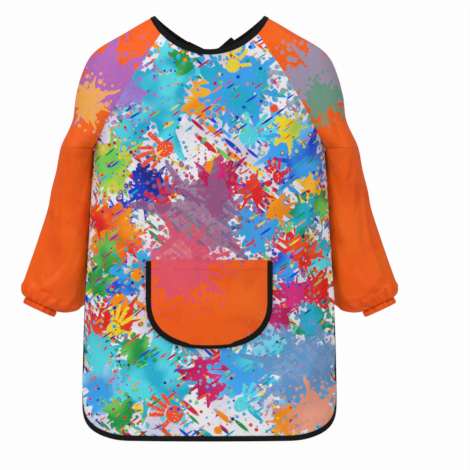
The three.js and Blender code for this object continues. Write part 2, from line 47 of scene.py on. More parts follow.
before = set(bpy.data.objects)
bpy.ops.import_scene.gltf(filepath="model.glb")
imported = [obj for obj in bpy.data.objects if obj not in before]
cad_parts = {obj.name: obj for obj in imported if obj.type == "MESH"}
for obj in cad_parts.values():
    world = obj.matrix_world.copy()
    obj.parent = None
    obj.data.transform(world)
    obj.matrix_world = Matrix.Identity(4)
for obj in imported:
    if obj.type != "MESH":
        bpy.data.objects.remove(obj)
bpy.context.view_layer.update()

# ------------------------------------------------------------------ sizes, in millimetres
LENGTH = 600.0
CHEST_HALF = 164.0
HEM_HALF = 180.6
BINDING_WIDTH = 8.0
BINDING_RISE = 0.9
NECK_HALF = 84.0
NECK_DROP = 54.0
NECK_POINT = LENGTH - 3
NAPE_HEIGHT = LENGTH - 45
NAPE_CURVE = 1.5
UNDERARM = LENGTH - 188
CREASE_TOP = UNDERARM + 68
FRONT_RAGLAN = {"x": NECK_HALF - 12, "height": LENGTH - 32, "bow": 5.0}
BACK_RAGLAN = {"x": NECK_HALF - 22, "height": LENGTH - 21, "bow": 0.0}
FLARE = [(0, 1), (0.18, 0.94), (0.46, 0.75), (0.7, 0.42), (0.9, 0.16), (1, 0)]
SHOULDER = [(160, 13), (120, 26), (100, 23), (77, 16), (63, 10), (49, -1)]
NECK_SLOPE = [(25, 39), (3, 1), (-4, -14)]
SIDE_RADIUS = {"hem": 40.0, "neck": 30.0}
FRONT_TURN = math.radians(20)
BACK_TURN = math.radians(14)
HEM_CORNER = {"width": 95.0, "height": 77.0}
EDGE_BEHIND = 4.0
CENTRE_GAP = 1.2
CENTRE_EDGE = 24.0
FLAP_FOOT = 211.0
FLAP_SWEEP = {"x": CHEST_HALF - 29, "height": UNDERARM + 13}
SLEEVE_SHAPE = [
    (25.5, 3, 188, 22.5, 36, 0), (30.5, 20, 260, 32, 30, 4), (38.2, 24, 325, 41, 29, 8),
    (45.5, 25, 382, 49, 28, 14), (50.9, 25, 397, 46, 27, 20), (59.6, 25, 407, 34, 22, 24),
    (63.8, 25, 409.4, 24, 18, 25),
]
POCKET = {"half": 88.8, "top": 253.5, "straight": 200.0, "bottom": 130.0}
POCKET_SQUARE = 2.5
POCKET_STAND = 3.3
POCKET_BULGE = 11.0
POCKET_HEM = 14.0
LABEL = {"width": 6.0, "height": 8.0, "thickness": 0.8, "up": POCKET["top"] - 27.5}
TAB = {"width": 16.0, "thickness": 1.2, "pile": 1.2, "inset": 1.5}
HOOK_TAB = {"x": 7.5, "height": NAPE_HEIGHT - 12, "length": 38.0, "angle": 41.0}
LOOP_TAB = {"x": -8.5, "height": NAPE_HEIGHT - 7, "length": 29.0, "angle": 154.0}
TAB_FACE = 49.9
FLOOR = -0.72  # the studio floor, in metres
EDGE_TUCK = BINDING_WIDTH - 3  # the cloth runs this far short of the folded edge of its tape
SIDES = (("left", 1), ("right", -1))
CLOTH_THICK = 0.6
FLAP_COLUMNS = 26
POCKET_COLUMNS = 48
POCKET_ROWS = 40
CUFF_POINTS = 160
NECK_STEPS = 60
SETTLE_FRAMES = 24
RING_RADIUS = 0.36  # of the faint rings on the ground, as a share of their cells
STITCH_LINE = 0.86  # share of the tape's width at which it is sewn down
CREASE_LEAD = 20.0  # the sleeve starts to close this far above the crease
SLEEVE_LEAN = 0.2  # how fast the sleeve's axis leans in above the underarm
VIEW_AWAY = 5.0
VIEW_WIDTH = 0.6674


# ------------------------------------------------------------------------- plain helpers
def linear(red, green, blue):
    """A display colour in bytes as the linear colour that a shader takes."""
    return tuple(
        c / 3294.6 if c <= 10 else ((c / 255 + 0.055) / 1.055) ** 2.4 for c in (red, green, blue)
    )


def lerp(a, b, t):
    return a + (b - a) * t


def smooth(t):
    t = min(1.0, max(0.0, t))
    return t * t * (3 - 2 * t)


def span(count, start=0.0, end=1.0):
    return [lerp(start, end, i / count) for i in range(count + 1)]


def profile(stations):
    """A smooth curve through (position, value) stations that never overshoots them."""
    stations = sorted(stations)
    xs = [s[0] for s in stations]
    ys = [s[1] for s in stations]
    slopes = [(ys[i + 1] - ys[i]) / (xs[i + 1] - xs[i]) for i in range(len(xs) - 1)]
    tangents = []
    for i in range(len(xs)):
        if i in (0, len(xs) - 1):
            tangents.append(slopes[min(i, len(slopes) - 1)])
            continue
        before, after = slopes[i - 1], slopes[i]
        tangents.append(0 if before * after <= 0 else 2 * before * after / (before + after))

    def at(x):
        x = min(xs[-1], max(xs[0], x))
        i = 0
        while i < len(xs) - 2 and x > xs[i + 1]:
            i += 1
        w = xs[i + 1] - xs[i]
        t = (x - xs[i]) / w
        return (ys[i] * (2 * t**3 - 3 * t**2 + 1) + tangents[i] * w * (t**3 - 2 * t**2 + t)
                + ys[i + 1] * (3 * t**2 - 2 * t**3) + tangents[i + 1] * w * (t**3 - t**2))

    return at


def limit_of(low, high, holds):
    """The place between two limits where a test stops being true."""
    while high - low > 1e-9:
        middle = (low + high) / 2
        if holds(middle):
            low = middle
        else:
            high = middle
    return (low + high) / 2


def ridge(a, b, line):
    """Height of a soft fold at (a, b); line is its two ends, half-width and height."""
    a0, b0, a1, b1, width, height = line
    da, db = a1 - a0, b1 - b0
    t = ((a - a0) * da + (b - b0) * db) / (da * da + db * db)
    along = min(1.0, max(0.0, t))
    away = math.hypot(a - a0 - da * along, b - b0 - db * along)
    return height * math.exp(-((away / width) ** 2)) * math.sin(math.pi * lerp(0.12, 0.88, along))


# ----------------------------------------------------------------------- body surface
half_width = profile(
    [(share * UNDERARM, lerp(CHEST_HALF, HEM_HALF, flare)) for share, flare in FLARE]
    + [(LENGTH - drop, CHEST_HALF + beyond) for drop, beyond in SHOULDER]
    + [(LENGTH - drop, NECK_HALF + beyond) for drop, beyond in NECK_SLOPE]
)

# Soft folds of the front, as flat distances from the centre and heights above the hem.
FRONT_FOLDS = [
    (-150, 405, -60, 350, 14, 2.6), (150, 402, 70, 330, 15, 2.8), (-158, 380, -95, 250, 12, 2.2),
    (160, 372, 110, 215, 13, 2.4), (-70, 540, -95, 420, 10, -1.6), (74, 536, 100, 430, 10, -1.6),
    (-120, 120, -135, 5, 17, 3.4), (-60, 115, -66, 0, 20, 3.0), (10, 110, 6, 0, 18, 2.6),
    (75, 120, 82, 0, 19, 3.4), (138, 150, 150, 20, 15, 2.8), (-28, 500, -40, 330, 16, 1.5),
    (38, 470, 52, 320, 14, 1.4), (-140, 300, -150, 140, 12, 1.8), (130, 290, 120, 150, 12, 1.6),
]


def quarter(height, turn):
    half = half_width(height)
    side = lerp(SIDE_RADIUS["hem"], SIDE_RADIUS["neck"], (height / LENGTH) ** 2)
    wide = (half - side * (1 - math.sin(turn))) / math.sin(turn)
    length = wide * turn + side * (math.pi / 2 - turn)
    return half, side, wide, turn, length


def on_quarter(q, share):
    half, side, wide, turn, length = q
    s = share * length
    if s <= wide * turn:
        depth = side * math.cos(turn) + wide * (math.cos(s / wide) - math.cos(turn))
        return wide * math.sin(s / wide), depth
    angle = turn + (s - wide * turn) / side
    return half - side + side * math.sin(angle), side * math.cos(angle)


def share_at(q, x):
    half, side, wide, turn, length = q
    if x <= wide * math.sin(turn):
        return wide * math.asin(x / wide) / length
    angle = math.asin(min(1.0, (x - half + side) / side))
    return (wide * turn + side * (angle - turn)) / length


def body(turned, up):
    """A place on the body: 0 is the centre front, 1 the side and 2 the centre back."""
    way = abs(turned)
    q = quarter(up, FRONT_TURN if way <= 1 else BACK_TURN)
    x, depth = on_quarter(q, way if way <= 1 else 2 - way)
    sign = -1 if turned < 0 else 1
    if way > 1:
        return np.array([sign * x, depth, up])
    across = turned * q[4]
    fold = sum(ridge(across, up, line) for line in FRONT_FOLDS) * smooth((1 - way) * 6)
    return np.array([sign * x, -depth - fold, up])


def front_at(x, up):
    return math.copysign(share_at(quarter(up, FRONT_TURN), abs(x)), x)


def back_at(x, up):
    return 2 - share_at(quarter(up, BACK_TURN), x)


def flat(place, back=False):
    turned, up = place
    front, rear = quarter(up, FRONT_TURN)[4], quarter(up, BACK_TURN)[4]
    way = abs(turned)
    distance = way * front if way <= 1 else front + (way - 1) * rear
    return np.array([front + rear - distance if back else math.copysign(distance, turned), up])


def unflat(point, back=False):
    x, up = point
    front, rear = quarter(up, FRONT_TURN)[4], quarter(up, BACK_TURN)[4]
    distance = front + rear - x if back else abs(x)
    way = distance / front if distance <= front else 1 + (distance - front) / rear
    return np.array([way if back else math.copysign(way, x), up])


def offset(line, inset):
    moved = []
    for i, p in enumerate(line):
        along = line[min(len(line) - 1, i + 1)] - line[max(0, i - 1)]
        along = along / np.linalg.norm(along)
        moved.append(np.array([p[0] - along[1] * inset, p[1] + along[0] * inset]))
    return moved


def normal_of(surface, a, b):
    along = surface(a + 1e-3, b) - surface(a - 1e-3, b)
    up = surface(a, b + 0.4) - surface(a, b - 0.4)
    out = np.cross(along, up)
    return out / np.linalg.norm(out)


def lifted(surface, place, lift):
    a, b = place
    return surface(a, b) + normal_of(surface, a, b) * lift


def patch(bottom, top, left, right):
    """Fills the inside of four edges, each a list of places."""
    n, m = len(bottom) - 1, len(left) - 1
    rows = []
    for j in range(m + 1):
        v = j / m
        row = []
        for i in range(n + 1):
            u = i / n
            row.append(bottom[i] * (1 - v) + top[i] * v + left[j] * (1 - u) + right[j] * u
                       - bottom[0] * (1 - u) * (1 - v) - bottom[n] * u * (1 - v)
                       - top[0] * (1 - u) * v - top[n] * u * v)
        rows.append(row)
    return rows


# ------------------------------------------------------------------- neck, seams, edges
def neck_rim(inset):
    radius = (NECK_HALF**2 + NECK_DROP**2) / (2 * NECK_DROP) - BINDING_WIDTH + inset
    centre = NECK_POINT - NECK_DROP + radius - inset + BINDING_WIDTH
    angle = limit_of(
        0, math.pi / 2,
        lambda a: radius * math.sin(a) < half_width(centre - radius * math.cos(a)))
    x, up = radius * math.sin(angle), centre - radius * math.cos(angle)
    return {"radius": radius, "centre": centre, "angle": angle, "x": x, "up": up}


def neck_front(inset, share):
    rim = neck_rim(inset)
    angle = rim["angle"] * share
    up = rim["centre"] - rim["radius"] * math.cos(angle)
    return np.array([front_at(rim["radius"] * math.sin(angle), up), up])


def neck_back_height(inset, x):
    rim = neck_rim(inset)
    nape = NAPE_HEIGHT - inset
    return nape + (rim["up"] - nape) * min(1.0, x / rim["x"]) ** NAPE_CURVE


def neck_back(inset, x):
    up = neck_back_height(inset, x)
    return np.array([back_at(x, up), up])


def neck_front_height(inset, x):
    rim = neck_rim(inset)
    return rim["centre"] - math.sqrt(rim["radius"] ** 2 - min(x, rim["x"]) ** 2)


def raglan_x(seam, up):
    t = (seam["height"] - up) / (seam["height"] - UNDERARM)
    return lerp(seam["x"], CHEST_HALF, t) + seam["bow"] * math.sin(math.pi * min(1, max(0, t)))


def raglan_top(seam, neck_height):
    return limit_of(UNDERARM, LENGTH, lambda up: up < neck_height(raglan_x(seam, up)))


RAGLAN_ROWS = 26
SIDE_ROWS = 16
SEAM_ROWS = 30
FRONT_COLUMNS = 64
FRONT_TOP = raglan_top(FRONT_RAGLAN, lambda x: neck_front_height(EDGE_TUCK, x))
BACK_TOP = raglan_top(BACK_RAGLAN, lambda x: neck_back_height(EDGE_TUCK, x))


def seam_heights(top):
    return span(RAGLAN_ROWS, UNDERARM, top)


def lower_edge():
    """The lower edge from the wearer's right to the left: side, corner, hem and back up."""
    def side_at(up):
        return np.array([flat((1, up))[0] + EDGE_BEHIND, up])

    sides = [side_at(up) for up in span(SIDE_ROWS, FLAP_FOOT, HEM_CORNER["height"])]
    start = side_at(0)[0] - HEM_CORNER["width"]
    corner = []
    for angle in span(FRONT_COLUMNS // 4, math.pi / 2, 0)[1:]:
        up = HEM_CORNER["height"] * (1 - math.cos(angle))
        drift = side_at(up)[0] - side_at(0)[0]
        x = start + HEM_CORNER["width"] * math.sin(angle) + drift * math.sin(angle) ** 2
        corner.append(np.array([x, up]))
    base = [np.array([x, 0.0]) for x in span(FRONT_COLUMNS // 4, start, 0)[1:]]
    half = sides + corner + base
    return [np.array([-p[0], p[1]]) for p in half] + half[-2::-1]


def lower_places(inset):
    return [unflat(p) for p in offset(lower_edge(), inset)]


FLAP_STEPS = 44
SEAM_FOOT = 2.0


def flap_edge():
    side = flat((1, FLAP_FOOT), True) - np.array([EDGE_BEHIND, 0])
    sweep = flat((back_at(FLAP_SWEEP["x"], FLAP_SWEEP["height"]), FLAP_SWEEP["height"]), True)
    low = np.array([CENTRE_GAP, NAPE_HEIGHT - BINDING_WIDTH - CENTRE_EDGE])
    return [side * (1 - t) ** 2 + sweep * 2 * t * (1 - t) + low * t * t for t in span(FLAP_STEPS)]


def flap_places_at(inset):
    line = offset(flap_edge(), -inset)
    line[0][1] = FLAP_FOOT
    line[-1][0] = CENTRE_GAP + inset
    return [unflat(p, True) for p in line]


def side_seam():
    start = flat(flap_places_at(EDGE_TUCK)[1]) - np.array([SEAM_FOOT, 0])
    end = flat((1, UNDERARM))
    return [unflat(start * (1 - t) + end * t) for t in span(SEAM_ROWS)]


def front_places():
    edge = lower_places(EDGE_TUCK)
    bottom = edge[SIDE_ROWS:len(edge) - SIDE_ROWS]
    side = edge[len(edge) - SIDE_ROWS - 1:] + side_seam()
    raglan = [np.array([front_at(raglan_x(FRONT_RAGLAN, up), up), up])
              for up in seam_heights(FRONT_TOP)]
    left = side + raglan[1:]
    right = [np.array([-p[0], p[1]]) for p in left]
    rim = neck_rim(EDGE_TUCK)
    reach = math.asin(raglan_x(FRONT_RAGLAN, FRONT_TOP) / rim["radius"]) / rim["angle"]
    top = []
    for s in span(FRONT_COLUMNS, -1, 1):
        p = neck_front(EDGE_TUCK, abs(s) * reach)
        top.append(np.array([math.copysign(p[0], s), p[1]]))
    top[0], top[-1] = right[-1].copy(), left[-1].copy()
    return patch(bottom, top, right, left)


def flap_places():
    raglan = [np.array([back_at(raglan_x(BACK_RAGLAN, up), up), up])
              for up in seam_heights(BACK_TOP)]
    seam = side_seam() + raglan[1:]
    free = flap_places_at(EDGE_TUCK)[1:]
    inner = CENTRE_GAP + EDGE_TUCK
    neck = neck_back_height(EDGE_TUCK, inner)
    centre = [unflat((inner, up), True)
              for up in span(len(seam) - len(free), free[-1][1], neck)[1:]]
    edge = free + centre
    bottom = [seam[0] * (1 - t) + edge[0] * t for t in span(FLAP_COLUMNS)]
    top = [neck_back(EDGE_TUCK, x)
           for x in span(FLAP_COLUMNS, raglan_x(BACK_RAGLAN, BACK_TOP), inner)]
    top[0], top[-1] = seam[-1].copy(), edge[-1].copy()
    return patch(bottom, top, seam, edge)


# ------------------------------------------------------------------ shoulders and sleeves
SLEEVE = [(half_width(LENGTH - drop) + beyond, behind, LENGTH - drop, *rest)
          for beyond, behind, drop, *rest in SLEEVE_SHAPE]
SLEEVE_COLUMNS = 128
SLEEVE_ROWS = 84
# Folds of the sleeve: round the sleeve (0 inside, 0.25 front, 0.5 outside) and down it.
SLEEVE_FOLDS = [
    (0.06, 0.1, 0.34, 1.5, 9, -2.6), (0.02, 0.5, 0.26, 2.2, 10, 3.0), (0.44, 1.2, 0.2, 2.7, 12, -2.8),
    (0.12, 2.1, 0.36, 3.5, 11, 3.4), (0.42, 2.6, 0.22, 4.0, 9, -2.6), (0.05, 3.0, 0.2, 4.2, 9, -2.4),
    (0.33, 3.4, 0.3, 4.6, 7, 2.6), (0.16, 3.5, 0.19, 4.7, 7, 2.4), (0.62, 0.8, 0.8, 2.4, 12, 3.0),
    (0.9, 1.6, 0.66, 3.2, 12, -3.0), (0.7, 2.8, 0.86, 4.2, 10, 3.0), (0.98, 0.4, 0.86, 1.6, 9, -2.4),
    (0.5, 0.3, 0.42, 1.4, 10, 2.0), (0.24, 0.2, 0.5, 0.9, 9, 1.8),
]
pleat_dice = np.random.default_rng(11)
PLEATS = [(k, pleat_dice.uniform(0.4, 1.0), pleat_dice.uniform(0, 2 * math.pi)) for k in range(12, 21)]
GATHERS = [(k, pleat_dice.uniform(0.5, 1.0), pleat_dice.uniform(0, 2 * math.pi)) for k in range(7, 13)]


def waves(parts, around):
    """An uneven ripple between about -1 and 1 at a share of the way around."""
    total = sum(w * math.cos(2 * math.pi * k * around + start) for k, w, start in parts)
    return total / (0.62 * sum(w for _, w, _ in parts))


def tube(station, around):
    x, y, up, half, depth, tilt = station
    angle = math.pi - 2 * math.pi * around
    across, lean = half * math.cos(angle), math.radians(tilt)
    return np.array([x + across * math.cos(lean), y - depth * math.sin(angle),
                     up + across * math.sin(lean)])


def cap_from(up):
    return front_at(raglan_x(FRONT_RAGLAN, up), up)


def cap_to(up):
    return back_at(raglan_x(BACK_RAGLAN, up), up)


def cap(share, up):
    start, end = cap_from(up), cap_to(up)
    start_closing = CREASE_TOP + CREASE_LEAD
    closing = smooth((start_closing - up) / (start_closing - UNDERARM))
    opened = body(lerp(start, end, share), up)
    top = (SLEEVE[0][0] - SLEEVE_LEAN * (up - UNDERARM), SLEEVE[0][1], up, *SLEEVE[0][3:])
    shut = tube(top, share)
    for at_end, weight in ((0, 1 - share * 4), (1, share * 4 - 3)):
        if weight > 0:
            shut = shut + (body(end if at_end else start, up) - tube(top, at_end)) * weight
    return opened * (1 - closing) + shut * closing


def cap_places():
    front = [np.array([0.0, up]) for up in seam_heights(FRONT_TOP)]
    back = [np.array([1.0, up]) for up in seam_heights(BACK_TOP)]
    bottom = [np.array([share, UNDERARM]) for share in span(SLEEVE_COLUMNS)]
    rim = neck_rim(EDGE_TUCK)
    reach = math.asin(raglan_x(FRONT_RAGLAN, FRONT_TOP) / rim["radius"]) / rim["angle"]
    half = SLEEVE_COLUMNS // 2
    line = [neck_front(EDGE_TUCK, s) for s in span(half, reach, 1)]
    line += [neck_back(EDGE_TUCK, x)
             for x in span(half, rim["x"], raglan_x(BACK_RAGLAN, BACK_TOP))[1:]]
    top = [np.array([(p[0] - cap_from(p[1])) / (cap_to(p[1]) - cap_from(p[1])), p[1]])
           for p in line]
    top[0], top[-1] = front[-1].copy(), back[-1].copy()
    return patch(bottom, top, front, back)


def sleeve_station(t):
    i = min(len(SLEEVE) - 2, int(t))
    s = t - i
    values = []
    for k, start in enumerate(SLEEVE[i]):
        end = SLEEVE[i + 1][k]
        before = SLEEVE[max(0, i - 1)][k]
        after = SLEEVE[min(len(SLEEVE) - 1, i + 2)][k]
        values.append(start * (2 * s**3 - 3 * s**2 + 1) + (end - before) / 2 * (s**3 - 2 * s**2 + s)
                      + end * (3 * s**2 - 2 * s**3) + (after - start) / 2 * (s**3 - s**2))
    return values


def sleeve_steps():
    """Steps down the sleeve, evenly spaced along its outer line."""
    fine = span(600, 0, len(SLEEVE) - 1)
    line = [tube(sleeve_station(t), 0.25) for t in fine]
    way = [0.0]
    for a, b in zip(line, line[1:]):
        way.append(way[-1] + float(np.linalg.norm(b - a)))
    return list(np.interp(span(SLEEVE_ROWS, 0, way[-1]), way, fine))


def sleeve_point(t, around, rim):
    """A point of the sleeve; rim is the loop where it leaves the shoulder."""
    station = sleeve_station(t)
    p = tube(station, around)
    out = tube([*station[:3], station[3] + 1, station[4] + 1, station[5]], around) - p
    out /= np.linalg.norm(out)
    meet = 1 - smooth(t / 0.7)
    ease = smooth(t / 0.4)
    fold = 0.0
    for a0, b0, a1, b1, width, height in SLEEVE_FOLDS:
        for shift in (-1, 0, 1):
            fold += ridge((around + shift) * 210, t * 44, (a0 * 210, b0 * 44, a1 * 210, b1 * 44,
                                                          width, height))
    gather = smooth((t - 2.6) / 1.4) * (1 - 0.5 * smooth((t - 5.0) / 1.0))
    pleats = smooth((t - 2.7) / 1.7) * (1 - 0.35 * smooth((t - 5.0) / 1.0))
    lift = fold * ease * (1 - 0.8 * smooth((t - 4.5) / 1.5))
    lift += 2.0 * gather * waves(GATHERS, around) + 3.0 * pleats * waves(PLEATS, around)
    return p + out * lift + rim * meet


def cuff_point(around, grow, down):
    """A point of the cuff, grown out by the gathers that the elastic pulls in."""
    station = sleeve_station(len(SLEEVE) - 1)
    tilt = math.radians(station[5])
    below = np.array([math.sin(tilt), 0, -math.cos(tilt)]) * down
    wave = waves(GATHERS, around) + 1.95 * waves(PLEATS, around)
    ease = lerp(1.0, 0.55, min(1.0, down / 3))
    size = grow + wave * ease * (1 if grow > -2 else 0.25)
    return tube([*station[:3], station[3] + size, station[4] + size, station[5]], around) + below


# ------------------------------------------------------------------------------- pocket
def pocket_lift(x, up):
    down = max(0.0, (POCKET["straight"] - up) / (POCKET["straight"] - POCKET["bottom"]))
    room = max(0.0, 1 - (x / (POCKET["half"] - BINDING_WIDTH)) ** 2 - down**2)
    return POCKET_STAND + POCKET_BULGE * room


def pocket_foot(inset):
    wide = POCKET["half"] - inset
    deep = POCKET["straight"] - POCKET["bottom"] - inset
    line = []
    for angle in span(POCKET_COLUMNS, math.pi, 0):
        x, y = math.cos(angle), math.sin(angle)
        x, y = (math.copysign(abs(v) ** (2 / POCKET_SQUARE), v) for v in (x, y))
        line.append((wide * x, POCKET["straight"] - deep * y))
    return line


def on_front(x, up):
    return np.array([front_at(x, up), up])


def pocket_point(x, up, extra=0.0):
    return lifted(body, on_front(x, up), pocket_lift(x, up) + extra)


# ------------------------------------------------------------------------ shader writing
class Value:
    """A node's output that can be used in plain sums."""

    def __init__(self, shader, socket):
        self.shader = shader
        self.socket = socket

    def sum(self, operation, *values):
        inputs = dict(enumerate(values))
        return self.shader.node("ShaderNodeMath", {"operation": operation}, inputs)

    def __add__(self, other):
        return self.sum("ADD", self, other)

    def __radd__(self, other):
        return self.sum("ADD", other, self)

    def __sub__(self, other):
        return self.sum("SUBTRACT", self, other)

    def __rsub__(self, other):
        return self.sum("SUBTRACT", other, self)

    def __mul__(self, other):
        return self.sum("MULTIPLY", self, other)

    def __rmul__(self, other):
        return self.sum("MULTIPLY", other, self)

    def __truediv__(self, other):
        return self.sum("DIVIDE", self, other)

    def __rtruediv__(self, other):
        return self.sum("DIVIDE", other, self)

    def at_least(self, other):
        return self.sum("MAXIMUM", self, other)

    def at_most(self, other):
        return self.sum("MINIMUM", self, other)

    def above(self, limit, soft):
        """0 below the limit and 1 above it, over a soft width."""
        return self.shader.node(
            "ShaderNodeMapRange", {"interpolation_type": "SMOOTHSTEP"},
            {0: self, 1: limit - soft, 2: limit + soft})

    def below(self, limit, soft):
        return 1 - self.above(limit, soft)


class Shader:
    """Writes one material's or node group's tree."""

    def __init__(self, tree):
        self.tree = tree

    def node(self, kind, settings=None, inputs=None, output=0):
        made = self.tree.nodes.new(kind)
        for key, value in (settings or {}).items():
            if key != "stops":
                setattr(made, key, value)
                continue
            ramp = made.color_ramp
            ramp.interpolation = "CONSTANT"
            while len(ramp.elements) < len(value):
                ramp.elements.new(1.0)
            for element, (place, colour) in zip(ramp.elements, value):
                element.position = place
                element.color = (*colour[:3], 1)
        for key, value in (inputs or {}).items():
            if isinstance(value, Value):
                self.tree.links.new(value.socket, made.inputs[key])
            else:
                made.inputs[key].default_value = value
        return Value(self, made.outputs[output])

    def root(self, operation, *values):
        return self.node("ShaderNodeMath", {"operation": operation}, dict(enumerate(values)))

    def sine(self, value):
        return self.root("SINE", value)

    def length(self, x, y):
        return self.root("SQRT", x * x + y * y)

    def output(self, value, name):
        return Value(self, value.socket.node.outputs[name])

    def mix(self, factor, a, b, blend="MIX"):
        a, b = (v if isinstance(v, Value) else (*v[:3], 1) for v in (a, b))
        settings = {"data_type": "RGBA", "blend_type": blend}
        return self.node("ShaderNodeMix", settings, {0: factor, 6: a, 7: b}, 2)

    def noise(self, place, scale, detail=2.0, rough=0.5, warp=0.0, output=0):
        inputs = {"Vector": place, "Scale": scale, "Detail": detail, "Roughness": rough,
                  "Distortion": warp}
        return self.node("ShaderNodeTexNoise", None, inputs, output)

    def cells(self, place, scale, output="Distance"):
        return self.node("ShaderNodeTexVoronoi", {"voronoi_dimensions": "2D"},
                         {"Vector": place, "Scale": scale}, output)

    def split(self, vector):
        parts = self.node("ShaderNodeSeparateXYZ", None, {0: vector})
        return parts, self.output(parts, "Y"), self.output(parts, "Z")

    def shares(self, value):
        """The three parts of the colour that a texture gives beside its value."""
        parts = self.node("ShaderNodeSeparateColor", None, {0: self.output(value, "Color")})
        return parts, self.output(parts, "Green"), self.output(parts, "Blue")

    def turned(self, place, angle=0.0, scale=(1, 1, 1), shift=(0, 0, 0)):
        return self.node("ShaderNodeMapping", None,
                         {"Vector": place, "Location": shift, "Rotation": (0, 0, angle), "Scale": scale})

    def uv(self, name):
        return self.node("ShaderNodeUVMap", {"uv_map": name})

    def object_place(self):
        return self.node("ShaderNodeTexCoord", None, None, "Object")

    def bump(self, height, distance, strength=1.0):
        return self.node("ShaderNodeBump", None,
                         {"Height": height, "Distance": distance, "Strength": strength})


def new_group(name, takes, gives, write):
    """A shader node group with named float or vector inputs and one output."""
    tree = bpy.data.node_groups.new(name, "ShaderNodeTree")
    for label, kind in takes:
        tree.interface.new_socket(label, in_out="INPUT", socket_type=kind)
    tree.interface.new_socket(gives, in_out="OUTPUT", socket_type="NodeSocketFloat")
    shader = Shader(tree)
    entry = tree.nodes.new("NodeGroupInput")
    values = [Value(shader, entry.outputs[i]) for i in range(len(takes))]
    result = write(shader, *values)
    tree.links.new(result.socket, tree.nodes.new("NodeGroupOutput").inputs[0])
    return tree


def new_material(name, write, **constants):
    """A material whose varying inputs come from write and whose others are constants."""
    material = bpy.data.materials.new(name)
    material.use_nodes = True
    tree = material.node_tree
    tree.nodes.clear()
    shader = Shader(tree)
    varying = write(shader)
    surface = shader.node("ShaderNodeBsdfPrincipled", None, {**constants, **varying})
    tree.links.new(surface.socket, tree.nodes.new("ShaderNodeOutputMaterial").inputs["Surface"])
    return material


# ------------------------------------------------------------------- paint marks, groups
def write_blot(s, x, y, across, up, radius, spikes, seed, drops, dice):
    """A thrown blot: a lobed middle with thin spikes and a few drops thrown around it."""
    dx, dy = (x - across) / radius, (y - up) / radius
    size = s.length(dx, dy)
    angle = s.root("ARCTAN2", dy, dx)
    lobes = s.sine(angle * 3 + seed) * 0.11 + s.sine(angle * 7 + seed * 2.3) * 0.09
    lobes = lobes + s.sine(angle * 5 + seed * 1.7) * 0.08 + s.sine(angle * 13 + seed * 4.1) * 0.05
    spike = (s.sine(angle * 11 + seed * 3.1) * s.sine(angle * 4 + seed * 1.3)).at_least(0.0)
    reach = 0.76 + lobes + spike * spike * spikes * 0.85
    blot = (size - reach).below(0.0, 0.03)
    room = (dice * 0.62 * (1.95 - size)).at_least(0.0) * spikes
    thrown = (drops - room).below(0.0, 0.05)
    return blot.at_least(thrown)


def write_hand(s, x, y, across, up, size, angle, thumb, worn):
    """A printed hand of five strokes and a palm."""
    dx, dy = (x - across) / size, (y - up) / size
    level, lift = s.root("COSINE", angle), s.sine(angle)
    side = (dx * level - dy * lift) * thumb
    rise = dx * lift + dy * level
    shape = s.length(side * 1.14, rise * 0.98) - 0.36
    strokes = ((-31, 0.45, 0.86, 0.09), (-11, 0.47, 1.0, 0.095), (9, 0.47, 1.04, 0.095),
               (28, 0.46, 0.94, 0.09), (74, 0.36, 0.76, 0.105))
    for lean, near, far, wide in strokes:
        wx, wy = math.sin(math.radians(lean)), math.cos(math.radians(lean))
        along = (side * wx + rise * wy).at_least(near).at_most(far)
        away = s.length(side - along * wx, rise - along * wy)
        shape = shape.at_most(away - wide)
    return (shape + 0.07 * worn).below(0.02, 0.02) * worn.above(0.34, 0.03)


def paint_groups():
    def floats(*labels):
        return [(label, "NodeSocketFloat") for label in labels]

    place = floats("X", "Y", "Across", "Up")
    new_group("Thrown blot", place + floats("Radius", "Spikes", "Seed", "Drops", "Dice"),
              "Mask", write_blot)
    new_group("Printed hand", place + floats("Size", "Angle", "Thumb", "Worn"), "Mask", write_hand)


